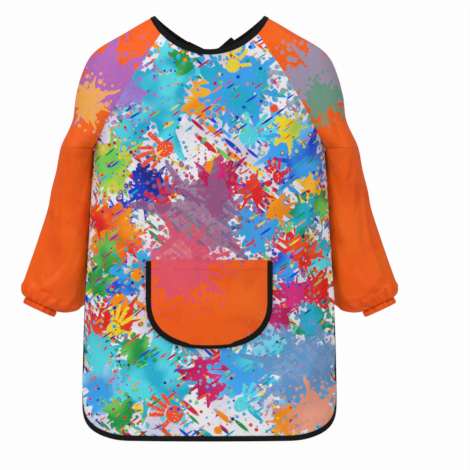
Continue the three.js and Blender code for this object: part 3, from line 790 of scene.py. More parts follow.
# Marks of the print, in millimetres: colour, second colour, across from the centre, height
# above the hem, radius, spikes.
BLOTS = [
    ("sky", "ice", -158, 76, 44, 0.35), ("green", "leaf", -42, 527, 28, 0.5),
    ("turquoise", "aqua", -74, 484, 61, 0.75), ("turquoise", "aqua", -112, 430, 29, 0.5),
    ("orange", "amber", -6, 480, 33, 0.45), ("sky", "turquoise", 40, 500, 54, 0.9),
    ("sky", "ice", 112, 420, 49, 0.7), ("royal", "sky", 140, 392, 37, 0.8),
    ("leaf", "yellow", -140, 385, 37, 0.9), ("royal", "navy", -86, 358, 33, 0.8),
    ("navy", "royal", -128, 322, 21, 1.0), ("crimson", "magenta", 14, 366, 32, 0.9),
    ("yellow", "amber", 148, 352, 23, 0.8), ("green", "leaf", 166, 333, 22, 0.7),
    ("sky", "turquoise", 66, 302, 37, 0.9), ("orange", "red", -138, 290, 49, 0.55),
    ("red", "vermilion", -166, 318, 23, 0.8), ("sky", "royal", -128, 222, 30, 0.8),
    ("green", "leaf", -168, 226, 27, 0.6), ("turquoise", "aqua", 158, 262, 33, 0.8),
    ("vermilion", "red", 128, 270, 32, 0.9), ("red", "crimson", 160, 212, 29, 0.8),
    ("magenta", "crimson", 118, 210, 26, 0.7), ("green", "turquoise", 150, 168, 29, 0.8),
    ("red", "vermilion", -166, 160, 26, 1.0), ("aqua", "ice", 84, 140, 37, 0.7),
    ("turquoise", "aqua", -76, 92, 61, 0.8), ("crimson", "magenta", 2, 92, 41, 0.4),
    ("sky", "aqua", 46, 98, 40, 0.8), ("sky", "ice", 140, 62, 49, 0.8),
    ("leaf", "green", -126, 40, 26, 0.6), ("orange", "amber", 108, 30, 24, 0.7),
    ("amber", "orange", -20, 170, 32, 0.5), ("yellow", "leaf", 112, 436, 21, 0.9),
    ("green", "leaf", -150, 262, 24, 0.8), ("red", "vermilion", -128, 172, 27, 0.9),
    ("turquoise", "aqua", -160, 128, 34, 0.8), ("royal", "sky", 104, 246, 22, 0.9),
    ("green", "turquoise", 132, 318, 26, 0.9), ("orange", "amber", 96, 330, 20, 0.7),
    ("red", "vermilion", 60, 356, 22, 0.9), ("green", "leaf", -104, 130, 24, 0.8),
    ("sky", "turquoise", -90, 240, 26, 0.9), ("crimson", "magenta", 100, 176, 20, 0.8),
]
# Round dots: colour, across, up, radius.
DOTS = [
    ("orange", 2, 389, 9), ("orange", -127, 197, 13), ("orange", -102, 234, 9),
    ("orange", 12, 16, 6), ("vermilion", 92, 468, 6), ("yellow", -28, 300, 7),
]
# Printed hands: colour, across, up, size, angle in degrees, side of the thumb.
HANDS = [
    ("yellow", 34, 528, 30, 12, 1), ("aqua", 56, 430, 40, 68, -1), ("vermilion", -62, 414, 38, -118, 1),
    ("red", -64, 334, 37, 18, -1), ("crimson", 8, 330, 34, -30, 1), ("yellow", -136, 160, 33, 28, 1),
    ("vermilion", -48, 38, 36, -62, -1), ("aqua", 44, 52, 35, 40, 1), ("red", 96, 372, 27, -20, 1),
]
# Splashes that lie over the finished smock: colour, across, up, radius, spikes, strength.
SPLASHES = [
    ("plum", -142, 505, 52, 0.85, 0.85), ("amber_wash", -172, 478, 30, 0.8, 0.9),
    ("slate", 152, 512, 46, 0.9, 0.8), ("sage", 160, 482, 30, 0.8, 0.85),
    ("mauve", -12, 316, 62, 0.95, 0.84), ("rose", -38, 250, 50, 0.9, 0.84),
    ("steel", 134, 100, 58, 0.95, 0.88), ("peach", 150, 38, 34, 0.9, 0.9),
]


class SmockColours(bpy.types.PropertyGroup):
    """Colours of the cloths, the tape and the paints of the print."""


def colour_property(label, text, *rgb):
    return bpy.props.FloatVectorProperty(
        name=label, description=text, default=linear(*rgb), subtype="COLOR", size=3, min=0, max=1)


COLOURS = {
    "ground": ("Ground", "Ground of the printed cloth", 246, 245, 250),
    # Painted shade: a pale lavender laid over the white ground in random clouds; the same colour also
    # prints the faint rings.
    "shade": ("Ground shade", "Faint cloud on the ground", 214, 208, 230),
    "sleeve": ("Sleeve", "Cloth of the sleeves and the pocket", 255, 98, 0),
    # Painted highlight: a lighter orange laid on the orange cloth in broad random patches, standing in
    # for light on the cloth.
    "sleeve_light": ("Sleeve light", "Worn and raised threads of that cloth", 255, 120, 16),
    # Painted shade: a darker orange laid on the orange cloth in random patches, standing in for shade in
    # its creases; the same colour also tints fine flecks and dyes the sleeve thread.
    "sleeve_deep": ("Sleeve deep", "Creases of that cloth", 222, 58, 0),
    "tape": ("Tape", "Bias tape of the edges", 7, 7, 8),
    "lining": ("Lining", "Coated inner face of the cloth", 232, 232, 236),
    "label": ("Label", "Woven side label", 240, 240, 236),
    "elastic": ("Elastic", "Band inside the cuffs", 236, 236, 230),
    "aqua": ("Aqua", "Light turquoise paint", 84, 224, 238),
    "turquoise": ("Turquoise", "Turquoise paint", 16, 178, 214),
    "sky": ("Sky", "Sky blue paint", 58, 168, 246),
    "ice": ("Ice", "Pale blue paint", 150, 214, 250),
    "royal": ("Royal", "Royal blue paint", 12, 66, 214),
    "navy": ("Navy", "Dark blue paint", 10, 34, 140),
    "red": ("Red", "Red paint", 232, 30, 24),
    "vermilion": ("Vermilion", "Orange red paint", 250, 82, 30),
    "crimson": ("Crimson", "Crimson paint", 190, 12, 84),
    "magenta": ("Magenta", "Magenta paint", 226, 40, 130),
    "orange": ("Orange", "Orange paint", 255, 146, 0),
    "amber": ("Amber", "Light orange paint", 255, 184, 40),
    "yellow": ("Yellow", "Yellow paint", 250, 222, 40),
    "green": ("Green", "Green paint", 6, 150, 66),
    "leaf": ("Leaf", "Light green paint", 120, 214, 90),
    "plum": ("Plum splash", "Splash over one shoulder", 172, 108, 208),
    "amber_wash": ("Amber splash", "Splash beside it", 255, 184, 80),
    "slate": ("Slate splash", "Splash over the other shoulder", 134, 166, 200),
    "sage": ("Sage splash", "Splash beside it", 98, 164, 132),
    "mauve": ("Mauve splash", "Splash over the chest", 146, 92, 142),
    "rose": ("Rose splash", "Splash over the pocket", 236, 84, 112),
    "steel": ("Steel splash", "Splash over the hem", 100, 152, 206),
    "peach": ("Peach splash", "Splash beside it", 248, 160, 122),
}
SmockColours.__annotations__ = {
    key: colour_property(*facts) for key, facts in COLOURS.items()
}


class SmockSizes(bpy.types.PropertyGroup):
    """Sizes of the finish that can be changed without a new pattern."""

    cloth: bpy.props.FloatProperty(
        name="Cloth", description="Thickness of the coated cloth", default=0.0006,
        min=0.0003, max=0.0014, unit="LENGTH")
    stitch: bpy.props.FloatProperty(
        name="Stitch", description="Length of one stitch", default=0.0024,
        min=0.001, max=0.006, unit="LENGTH")
    pitch: bpy.props.FloatProperty(
        name="Pitch", description="Distance from one stitch to the next", default=0.0031,
        min=0.0015, max=0.008, unit="LENGTH")
    thread: bpy.props.FloatProperty(
        name="Thread", description="Thickness of the sewing thread", default=0.0005,
        min=0.0002, max=0.001, unit="LENGTH")
    slack: bpy.props.FloatProperty(
        name="Slack", description="How much the cloth is larger than its pattern when it settles",
        default=0.022, min=0.0, max=0.06, subtype="FACTOR")
    travel: bpy.props.FloatProperty(
        name="Travel", description="Furthest that the cloth may move as it settles",
        default=0.006, min=0.0, max=0.01, unit="LENGTH")


def colours():
    return {key: tuple(getattr(bpy.context.scene.smock_colours, key)) for key in COLOURS}


def splashed(s, cloth, splat, hues):
    """Lays the splashes over the front of the finished smock."""
    place = s.object_place()
    grain = s.noise(place, 160.0, 2.0)
    drift = s.noise(place, 24.0, 2.0) * 0.02 - 0.01
    x, y, z = s.split(place)
    facing = y.below(0.004, 0.004)
    upright = s.node("ShaderNodeMapping", None,
                     {"Vector": place, "Rotation": (math.radians(-90), 0, 0)})
    cell = s.cells(upright, 105.0)
    dice, _, _ = s.shares(cell)
    for i, (hue, across, up, radius, spikes, strength) in enumerate(SPLASHES):
        mask = s.node("ShaderNodeGroup", {"node_tree": splat},
                      {"X": x + drift, "Y": z - drift, "Across": across / 1000,
                       "Up": (up - LENGTH) / 1000, "Radius": radius / 1000, "Spikes": spikes,
                       "Seed": 40.0 + 3.7 * i, "Drops": cell, "Dice": dice})
        cloth = s.mix(mask * facing * (strength - 0.18 + 0.36 * grain), cloth, hues[hue])
    return cloth


def weave(s, place, threads):
    """Height of a fine plain weave at a place measured in metres."""
    x, y, _ = s.split(place)
    turn = 2 * math.pi * threads
    return s.sine(x * turn) * s.sine(y * turn)


def printed_cloth(splat, hand):
    hues = colours()

    def write(s):
        place = s.uv("Flat")
        across_drift, up_drift, _ = s.shares(s.noise(place, 26.0, 2.0))
        # Painted shade: random lavender clouds on the white ground.
        cloud = s.noise(place, 14.0, 3.0).above(0.52, 0.1)
        colour = s.mix(cloud * 0.8, hues["ground"], hues["shade"])
        rings = s.cells(place, 30.0)
        ring = s.root("ABSOLUTE", rings - RING_RADIUS).below(0.018, 0.012)
        colour = s.mix(ring * 0.4 * s.noise(place, 9.0).above(0.48, 0.05), colour, hues["shade"])
        paints = [hues[k] for k in ("red", "green", "sky", "orange", "crimson", "royal", "leaf",
                                    "turquoise", "vermilion", "navy", "yellow")]
        stops = [(i / len(paints), hue) for i, hue in enumerate(paints)]

        def speckle(colour, scale, amount, size, stretch=None, turn=0.0, seed=0.0):
            spots = s.turned(s.turned(place, turn), 0.0, stretch or (1, 1, 1), (seed, seed * 0.7, 0))
            cell = s.cells(spots, scale)
            dice, pick, chance = s.shares(cell)
            crowd = s.noise(s.turned(place, 0, (1, 1, 1), (seed, seed, 0)), 12.0, 2.0)
            shown = (chance + crowd * 1.1).above(1.55 - amount, 0.01)
            dot = (cell - size * (0.35 + 0.65 * dice)).below(0.0, 0.06)
            hue = s.node("ShaderNodeValToRGB", {"stops": stops}, {0: pick})
            return s.mix(dot * shown, colour, hue)

        colour = speckle(colour, 22.0, 0.5, 0.46, (1.0, 5.0, 1), 0.7, 5.0)
        colour = speckle(colour, 60.0, 0.18, 0.28, seed=1.0)
        x, y, _ = s.split(place)
        x, y = x + (across_drift - 0.5) * 0.009, y + (up_drift - 0.5) * 0.009
        cell = s.cells(place, 95.0)
        dice, _, _ = s.shares(cell)
        shades = [s.noise(place, scale, 1.0).above(0.52, 0.12) for scale in (15.0, 19.0, 24.0)]
        worn = s.noise(place, 420.0, 1.0)
        for i, (hue, second, across, up, radius, spikes) in enumerate(BLOTS):
            mask = s.node("ShaderNodeGroup", {"node_tree": splat},
                          {"X": x, "Y": y, "Across": across / 1000, "Up": up / 1000,
                           "Radius": radius / 1000, "Spikes": spikes, "Seed": 2.3 * i,
                           "Drops": cell, "Dice": dice})
            colour = s.mix(mask, colour, hues[hue])
            colour = s.mix(mask * shades[i % 3], colour, hues[second])
        for hue, across, up, radius in DOTS:
            dot = s.length(x - across / 1000, y - up / 1000).below(radius / 1000, 0.0006)
            colour = s.mix(dot, colour, hues[hue])
        for hue, across, up, size, angle, thumb in HANDS:
            mask = s.node("ShaderNodeGroup", {"node_tree": hand},
                          {"X": x, "Y": y, "Across": across / 1000, "Up": up / 1000,
                           "Size": size / 1000, "Angle": math.radians(angle),
                           "Thumb": float(thumb), "Worn": worn})
            colour = s.mix(mask, colour, hues[hue])
        colour = speckle(colour, 34.0, 0.34, 0.34, (1.0, 6.0, 1), -0.6, 9.0)
        colour = speckle(colour, 120.0, 0.24, 0.34, seed=3.0)
        colour = splashed(s, colour, splat, hues)
        rumple = s.noise(s.object_place(), 34.0, 4.0, 0.55)
        threads = weave(s, place, 1500.0)
        normal = s.bump(rumple + 0.012 * threads, 0.0016, 0.6)
        rough = 0.42 + 0.14 * s.noise(place, 60.0, 2.0)
        return {"Base Color": colour, "Roughness": rough, "Normal": normal}

    return new_material("Printed coated cloth", write,
                        **{"Specular IOR Level": 0.25})


def orange_cloth(splat):
    hues = colours()

    def write(s):
        place = s.object_place()
        broad = s.noise(place, 11.0, 3.0, 0.55)
        # Painted highlight: broad random patches of the lighter orange.
        colour = s.mix(broad.above(0.56, 0.16) * 0.55, hues["sleeve"], hues["sleeve_light"])
        # Painted shade: random patches of the darker orange.
        colour = s.mix(s.noise(place, 26.0, 3.0).below(0.4, 0.1) * 0.35, colour, hues["sleeve_deep"])
        colour = splashed(s, colour, splat, hues)
        threads = weave(s, s.uv("Flat"), 1500.0)
        fleck = s.noise(place, 900.0, 1.0)
        colour = s.mix(0.12 * fleck, colour, hues["sleeve_deep"], "MULTIPLY")
        rumple = s.noise(place, 42.0, 4.0, 0.6, 0.4)
        normal = s.bump(rumple + 0.012 * threads, 0.0018, 0.7)
        rough = 0.4 + 0.16 * broad
        return {"Base Color": colour, "Roughness": rough, "Normal": normal}

    return new_material("Orange coated cloth", write,
                        **{"Specular IOR Level": 0.25})


def woven(name, hue, threads, rough, depth=0.0004, fuzz=0.0, spread=0.35, gloss=0.25):
    """A woven or brushed band: threads per metre, roughness, depth of its weave."""
    hues = colours()
    base = hues[hue]
    light = tuple(min(1.0, c * (1 + spread) + 0.006 * (1 + spread)) for c in base)

    def write(s):
        place = s.object_place()
        turned = s.node("ShaderNodeMapping", None, {"Vector": place, "Rotation": (0.6, 0.7, 0.5)})
        x, _, z = s.split(turned)
        turn = 2 * math.pi * threads
        rows = s.sine(x * turn) * s.sine(z * turn)
        hair = s.noise(place, 2600.0, 2.0)
        wear = s.noise(place, 90.0, 3.0)
        colour = s.mix((0.5 + 0.5 * rows) * 0.5 + 0.5 * wear, base, light)
        height = rows * (1 - fuzz) + hair * (0.4 + 2.2 * fuzz)
        normal = s.bump(height, depth, 0.6)
        return {"Base Color": colour, "Roughness": rough + 0.12 * (wear - 0.5), "Normal": normal}

    return new_material(name, write, **{"Specular IOR Level": gloss})


def lining_cloth():
    hues = colours()

    def write(s):
        place = s.object_place()
        cloud = s.noise(place, 20.0, 3.0)
        grey = tuple(0.84 * c for c in hues["lining"])
        colour = s.mix(cloud, hues["lining"], grey)
        normal = s.bump(s.noise(place, 60.0, 4.0), 0.001, 0.5)
        return {"Base Color": colour, "Roughness": 0.5 + 0.12 * cloud, "Normal": normal}

    return new_material("Coated inner face", write, **{"Specular IOR Level": 0.4})


def material(name):
    """The named finish, made the first time that it's wanted."""
    if name not in bpy.data.materials:
        if not any(g.name == "Thrown blot" for g in bpy.data.node_groups):
            paint_groups()
        splat, hand = (bpy.data.node_groups[g] for g in ("Thrown blot", "Printed hand"))
        makers = {
            "Printed coated cloth": lambda: printed_cloth(splat, hand),
            "Orange coated cloth": lambda: orange_cloth(splat),
            "Coated inner face": lining_cloth,
            "Bias tape": lambda: woven("Bias tape", "tape", 700, 0.62, 0.0005, spread=0.5, gloss=0.13),
            "Sewing thread": lambda: woven("Sewing thread", "tape", 1500, 0.5, 0.0002,
                                           spread=1.8, gloss=0.2),
            "Sleeve thread": lambda: woven("Sleeve thread", "sleeve_deep", 1500, 0.5, 0.0002),
            "Brushed pile": lambda: woven("Brushed pile", "tape", 900, 0.85, 0.0012, 1.0, gloss=0.12),
            "Woven label": lambda: woven("Woven label", "label", 1200, 0.7, 0.0003, spread=0.02),
            "Knitted elastic": lambda: woven("Knitted elastic", "elastic", 500, 0.75, 0.0008),
        }
        makers[name]()
    return bpy.data.materials[name]


# ---------------------------------------------------------------------- making meshes
def metres(p):
    return (p[0] / 1000, p[1] / 1000, (p[2] - LENGTH) / 1000)


def mirrored(points):
    return [[np.array([-p[0], p[1], p[2]]) for p in row] for row in points]


def new_piece(name, points, faces, materials):
    """A mesh at the origin with its place in its points, already in metres."""
    mesh = bpy.data.meshes.new(name)
    mesh.from_pydata([tuple(p) for p in points], [], faces)
    for finish in materials:
        mesh.materials.append(material(finish))
    mesh.shade_smooth()
    piece = bpy.data.objects.new(name, mesh)
    bpy.context.scene.collection.objects.link(piece)
    return piece


def settle(piece, held, caps):
    """Lets a cloth piece slump a little between the points that hold it, and keeps the result.

    held is how firmly each point stays, and caps how far it may move, in metres."""
    sizes = bpy.context.scene.smock_sizes
    if sizes.slack == 0:
        return
    rest = np.array([v.co for v in piece.data.vertices])
    group = piece.vertex_groups.new(name="held")
    for i, weight in enumerate(held):
        group.add([i], float(weight), "REPLACE")
    cloth = piece.modifiers.new("Settle", "CLOTH")
    cloth.settings.vertex_group_mass = "held"
    cloth.settings.quality = 6
    cloth.settings.mass = 0.12
    cloth.settings.tension_stiffness = 25
    cloth.settings.compression_stiffness = 25
    cloth.settings.shear_stiffness = 12
    cloth.settings.bending_stiffness = 0.35
    cloth.settings.air_damping = 2
    cloth.settings.shrink_min = -sizes.slack
    cloth.settings.effector_weights.gravity = 0.25
    cloth.collision_settings.use_collision = False
    cloth.point_cache.frame_start = 1
    cloth.point_cache.frame_end = SETTLE_FRAMES
    scene = bpy.context.scene
    for step in range(1, SETTLE_FRAMES + 1):
        scene.frame_set(step)
    shown = piece.evaluated_get(bpy.context.evaluated_depsgraph_get())
    moved = np.array([v.co for v in shown.data.vertices])
    piece.modifiers.clear()
    piece.vertex_groups.clear()
    scene.frame_set(1)
    way = moved - rest
    far = np.linalg.norm(way, axis=1)
    limit = np.asarray(caps) * (1 - np.asarray(held) ** 4)
    share = limit * np.tanh(far / np.maximum(limit, 1e-9)) / np.maximum(far, 1e-9)
    settled = rest + way * share[:, None]
    piece.data.vertices.foreach_set("co", settled.astype(np.float32).ravel())
    piece.data.update()


def grid_faces(rows, columns, closed=False, start=0):
    across = columns if closed else columns - 1
    return [
        (start + j * columns + i, start + j * columns + (i + 1) % columns,
         start + (j + 1) * columns + (i + 1) % columns, start + (j + 1) * columns + i)
        for j in range(rows - 1) for i in range(across)
    ]


def outward(points, faces, inside):
    """Turns every face over if the sheet faces the point inside it."""
    score = 0.0
    for face in faces:
        a, b, c = (np.asarray(points[face[k]]) for k in (0, 1, 2))
        score += float(np.dot(np.cross(b - a, c - a), (a + b + c) / 3 - np.asarray(inside)))
    return faces if score > 0 else [tuple(reversed(face)) for face in faces]


def flat_map(piece, places):
    """Lays each point's own flat place, in metres, into the piece's map."""
    layer = piece.data.uv_layers.new(name="Flat")
    for loop in piece.data.loops:
        layer.data[loop.index].uv = places[loop.vertex_index]


def rounded(piece):
    """Rounds the piece with one level of subdivision."""
    rounder = piece.modifiers.new("Rounder", "SUBSURF")
    rounder.levels = rounder.render_levels = 1
    return rounder


def turned_out(piece):
    """Makes every face of a closed piece point outwards."""
    shape = bmesh.new()
    shape.from_mesh(piece.data)
    bmesh.ops.recalc_face_normals(shape, faces=shape.faces)
    shape.to_mesh(piece.data)
    shape.free()
    piece.data.shade_smooth()


def thicken(piece, thickness):
    """Gives a rounded sheet its thickness, with the lining on the inner face."""
    rounded(piece).boundary_smooth = "PRESERVE_CORNERS"
    wall = piece.modifiers.new("Cloth", "SOLIDIFY")
    wall.thickness = thickness
    wall.offset = -1
    wall.use_even_offset = False
    wall.material_offset = 1
    wall.material_offset_rim = 0


def as_sheet(piece, width, length):
    """Sums the area of the piece's faces, in square metres, and finds a width from it; neither is kept.
    """
    area = sum(p.area for p in piece.data.polygons)
    width = max(width, area / length)


def tape_section(top, bottom):
    """Section of a folded tape as (share across, lift): round at the fold, flat, thin edges."""
    middle = (top + bottom) / 2
    return [
        (0.0, middle), (0.025, lerp(middle, top, 0.62)), (0.1, lerp(middle, top, 0.92)),
        (0.28, top), (0.78, top), (0.94, lerp(middle, top, 0.95)), (1.0, lerp(middle, top, 0.66)),
        (1.0, lerp(middle, bottom, 0.66)), (0.94, lerp(middle, bottom, 0.95)), (0.78, bottom),
        (0.28, bottom), (0.1, lerp(middle, bottom, 0.92)), (0.025, lerp(middle, bottom, 0.62)),
    ]


def tape(outer, inner, normals, top, bottom, seed):
    """A folded tape along an edge, from its outer and inner lines and their normals."""
    dice = np.random.default_rng(seed)
    shift = dice.uniform(0, 6, 3)
    section = tape_section(top, bottom)
    rings, way = [], 0.0
    for i, (o, n, out) in enumerate(zip(outer, inner, normals)):
        if i:
            way += float(np.linalg.norm(o - outer[i - 1]))
        pucker = 0.09 * math.sin(way / 2.9 + shift[0]) + 0.07 * math.sin(way / 4.7 + shift[1])
        drift = 0.25 * math.sin(way / 13 + shift[2])
        middle = (top + bottom) / 2
        ring = []
        for share, lift in section:
            swell = 1 + pucker * (1 if share > 0.2 else 0.4)
            p = o + (n - o) * (share * (1 + 0.02 * drift))
            ring.append(p + out * (middle + (lift - middle) * swell))
        rings.append(ring)
    columns = len(section)
    points = [metres(p) for ring in rings for p in ring]
    faces = grid_faces(len(rings), columns, closed=True)
    last = (len(rings) - 1) * columns
    faces += [tuple(range(columns - 1, -1, -1)), tuple(range(last, last + columns))]
    return points, faces


def tape_piece(name, runs, top=BINDING_RISE, bottom=-CLOTH_THICK - BINDING_RISE, seed=1):
    """One piece from one or more runs of (outer, inner, normals)."""
    points, faces = [], []
    for run in runs:
        more, made = tape(*run, top, bottom, seed)
        faces += [tuple(k + len(points) for k in face) for face in made]
        points += more
    piece = new_piece(name, points, faces, ["Bias tape"])
    turned_out(piece)
    rounded(piece)
    return piece


def edge_run(places, width=BINDING_WIDTH, lift=None):
    """Outer line, inner line and normals of an edge on the body."""
    outer, inner = places(0.0), places(width)
    lift = lift or (lambda x, up: 0.0)
    normals = [normal_of(body, *p) for p in inner]
    raised = []
    for line in (outer, inner):
        raised.append([body(*p) + n * lift(body(*p)[0], p[1]) for p, n in zip(line, normals)])
    return raised[0], raised[1], normals


def tidy_run(run, step=3.0):
    """Spaces a run of edge points evenly, for even puckers and smooth curves."""
    outer, inner, normals = (np.array(line) for line in run)
    way = np.concatenate([[0], np.cumsum(np.linalg.norm(np.diff(outer, axis=0), axis=1))])
    marks = np.linspace(0, way[-1], max(2, int(way[-1] / step)))
    even = [np.stack([np.interp(marks, way, line[:, k]) for k in range(3)], 1)
            for line in (outer, inner, normals)]
    even[2] /= np.linalg.norm(even[2], axis=1)[:, None]
    return [list(line) for line in even]


def follow_flap(piece):
    """Bakes the piece's placement into its mesh."""
    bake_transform(piece)


def follow_arm(piece):
    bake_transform(piece)


# -------------------------------------------------------------------------- operators
class SMOCK_OT_front(bpy.types.Operator):
    """Cut the printed front, let it settle and attach it to the garment"""

    bl_idname = "smock.front"
    bl_label = "Front panel"

    def execute(self, context):
        places = front_places()
        points = [body(*p) for row in places for p in row]
        rows, columns = len(places), len(places[0])
        faces = outward(points, grid_faces(rows, columns), (0, 0, 300))
        piece = new_piece("printed_front", [metres(p) for p in points], faces,
                          ["Printed coated cloth", "Coated inner face"])
        flats = [flat(p) / 1000 for row in places for p in row]
        flat_map(piece, flats)
        held, caps = [], []
        for j in range(rows):
            for i in range(columns):
                edge = min(j, rows - 1 - j, i, columns - 1 - i)
                x, up = points[j * columns + i][0], points[j * columns + i][2]
                apart = max(abs(x) - POCKET["half"], up - POCKET["top"], POCKET["bottom"] - up)
                held.append(1.0 if edge < 2 else 0.0)
                free = smooth(apart / 25) if apart < 25 else 1.0
                travel = context.scene.smock_sizes.travel
                caps.append(travel * (0.12 + 0.88 * free) * smooth(edge / 6))
        settle(piece, held, caps)
        thicken(piece, context.scene.smock_sizes.cloth)
        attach(piece, "garment")
        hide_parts("front_panel")
        as_sheet(piece, 0.40, 0.60)
        return {"FINISHED"}


class SMOCK_OT_shoulders(bpy.types.Operator):
    """Sew in the raglan shoulders"""

    bl_idname = "smock.shoulders"
    bl_label = "Shoulders"

    def execute(self, context):
        places = cap_places()
        grid = [[cap(*p) for p in row] for row in places]
        for side, sign in SIDES:
            rows, columns = len(grid), len(grid[0])
            points = [p for row in (grid if sign > 0 else mirrored(grid)) for p in row]
            faces = outward(points, grid_faces(rows, columns), (sign * 120, 5, 470))
            piece = new_piece(f"{side}_raglan_shoulder", [metres(p) for p in points], faces,
                              ["Orange coated cloth", "Coated inner face"])
            flat_map(piece, [(p[0] * 0.23, p[1] / 1000) for row in places for p in row])
            thicken(piece, context.scene.smock_sizes.cloth)
            follow_flap(piece)
            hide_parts(f"{side}_shoulder")
            as_sheet(piece, 0.23, 0.21)
        return {"FINISHED"}


def sleeve_grid():
    steps = sleeve_steps()
    start = [cap(i / SLEEVE_COLUMNS, UNDERARM) for i in range(SLEEVE_COLUMNS)]
    rims = [p - tube(SLEEVE[0], i / SLEEVE_COLUMNS) for i, p in enumerate(start)]
    grid = [[sleeve_point(t, i / SLEEVE_COLUMNS, rims[i]) for i in range(SLEEVE_COLUMNS)]
            for t in steps]
    grid[0] = start
    return grid


class SMOCK_OT_sleeves(bpy.types.Operator):
    """Make both sleeves with their soft folds and let them settle"""

    bl_idname = "smock.sleeves"
    bl_label = "Sleeves"

    def execute(self, context):
        grid = sleeve_grid()
        rows, columns = len(grid), len(grid[0])
        for side, sign in SIDES:
            points = [p for row in (grid if sign > 0 else mirrored(grid)) for p in row]
            faces = grid_faces(rows, columns, closed=True)
            first = np.array(points[faces[0][0]])
            if np.dot(np.cross(np.array(points[faces[0][1]]) - first,
                               np.array(points[faces[0][3]]) - first),
                      first - np.mean(points[:columns], axis=0)) < 0:
                faces = [tuple(reversed(face)) for face in faces]
            piece = new_piece(f"{side}_cloth_sleeve", [metres(p) for p in points], faces,
                              ["Orange coated cloth", "Coated inner face"])
            layer = piece.data.uv_layers.new(name="Flat")
            for face in piece.data.polygons:
                seam = any(piece.data.loops[k].vertex_index % columns == columns - 1
                           for k in face.loop_indices)
                for k in face.loop_indices:
                    index = piece.data.loops[k].vertex_index
                    i, j = index % columns, index // columns
                    i = columns if seam and i == 0 else i
                    layer.data[k].uv = (0.22 * i / columns, 0.225 * j / rows)
            travel = context.scene.smock_sizes.travel
            held = [1.0 if j < 2 or j > rows - 3 else 0.0 for j in range(rows) for _ in range(columns)]
            caps = [travel * 0.8 * smooth(j / 10) * smooth((rows - 1 - j) / 12)
                    for j in range(rows) for _ in range(columns)]
            settle(piece, held, caps)
            thicken(piece, context.scene.smock_sizes.cloth)
            follow_arm(piece)
            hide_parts(f"{side}_sleeve")
            as_sheet(piece, 0.24, 0.225)
        return {"FINISHED"}


class SMOCK_OT_cuffs(bpy.types.Operator):
    """Fold the gathered cuff casings over their elastic"""

    bl_idname = "smock.cuffs"
    bl_label = "Cuffs"

    def execute(self, context):
        section = [(0.0, 0.0), (0.7, 2.2), (0.95, 4.5), (0.7, 6.8), (0.1, 8.4), (-1.2, 9.0),
                   (-2.6, 8.6), (-3.4, 7.0), (-3.7, 4.5), (-3.5, 1.5), (-2.2, 0.2)]
        count = CUFF_POINTS
        for side, sign in SIDES:
            rings = [[cuff_point(i / count, grow, down) for i in range(count)]
                     for grow, down in section]
            if sign < 0:
                rings = mirrored(rings)
            points = [metres(p) for ring in rings for p in ring]
            size = len(section)
            faces = [(k * count + i, k * count + (i + 1) % count,
                      (k + 1) % size * count + (i + 1) % count, (k + 1) % size * count + i)
                     for k in range(size) for i in range(count)]
            piece = new_piece(f"{side}_gathered_cuff", points, faces, ["Orange coated cloth"])
            turned_out(piece)
            layer = piece.data.uv_layers.new(name="Flat")
            for loop in piece.data.loops:
                i = loop.vertex_index
                layer.data[loop.index].uv = (0.13 * (i % count) / count, 0.003 * (i // count))
            rounded(piece)
            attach(piece, f"{side}_arm")
            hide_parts(f"{side}_cuff_casing")
            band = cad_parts[f"{side}_cuff_elastic"]
            band.data.materials.clear()
            band.data.materials.append(material("Knitted elastic"))
        return {"FINISHED"}


class SMOCK_OT_flaps(bpy.types.Operator):
    """Cut the two printed back flaps"""

    bl_idname = "smock.flaps"
    bl_label = "Back flaps"

    def execute(self, context):
        places = flap_places()
        grid = [[body(*p) for p in row] for row in places]
        rows, columns = len(grid), len(grid[0])
        for side, sign in SIDES:
            points = [p for row in (grid if sign > 0 else mirrored(grid)) for p in row]
            faces = outward(points, grid_faces(rows, columns), (sign * 60, 0, 400))
            piece = new_piece(f"{side}_printed_flap", [metres(p) for p in points], faces,
                              ["Printed coated cloth", "Coated inner face"])
            flats = []
            for row in places:
                for p in row:
                    away = flat(p, True)
                    flats.append((sign * (0.03 + away[0] / 1000 - 0.02), away[1] / 1000 - 0.13))
            flat_map(piece, flats)
            held = [1.0 if min(j, rows - 1 - j, i, columns - 1 - i) < 2 else 0.0
                    for j in range(rows) for i in range(columns)]
            travel = context.scene.smock_sizes.travel
            caps = [travel * 0.7 * smooth(min(j, rows - 1 - j, i, columns - 1 - i) / 6)
                    for j in range(rows) for i in range(columns)]
            settle(piece, held, caps)
            thicken(piece, context.scene.smock_sizes.cloth)
            follow_flap(piece)
            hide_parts(f"{side}_back_flap")
            as_sheet(piece, 0.1, 0.34)
        return {"FINISHED"}


def flap_run():
    """The flap's free edge, from the side up to the nape."""
    def places(inset):
        top = NAPE_HEIGHT - BINDING_WIDTH
        return flap_places_at(inset) + [unflat((CENTRE_GAP + inset, top), True)]
    return tidy_run(edge_run(places))


def nape_run():
    """The back half of the neck, from the neck point to the centre."""
    def places(inset):
        start = neck_rim(inset)["x"]
        return [neck_back(inset, x) for x in span(NECK_STEPS, start, CENTRE_GAP)]
    return tidy_run(edge_run(places))


def neck_run():
    def places(inset):
        half = [neck_front(inset, s) for s in span(NECK_STEPS, 1, 0)]
        return half + [np.array([-p[0], p[1]]) for p in half[-2::-1]]
    return tidy_run(edge_run(places))


def hem_run():
    return tidy_run(edge_run(lower_places))


def pocket_run():
    def places(inset):
        wide = POCKET["half"] - inset
        line = [(-wide, up) for up in span(8, POCKET["top"], POCKET["straight"])[:-1]]
        line += pocket_foot(inset) + [(-x, up) for x, up in line[::-1]]
        return [on_front(*p) for p in line]
    return tidy_run(edge_run(places), 2.5)


def mirror_run(run):
    flip = np.array([-1, 1, 1])
    return [[p * flip for p in line] for line in run]


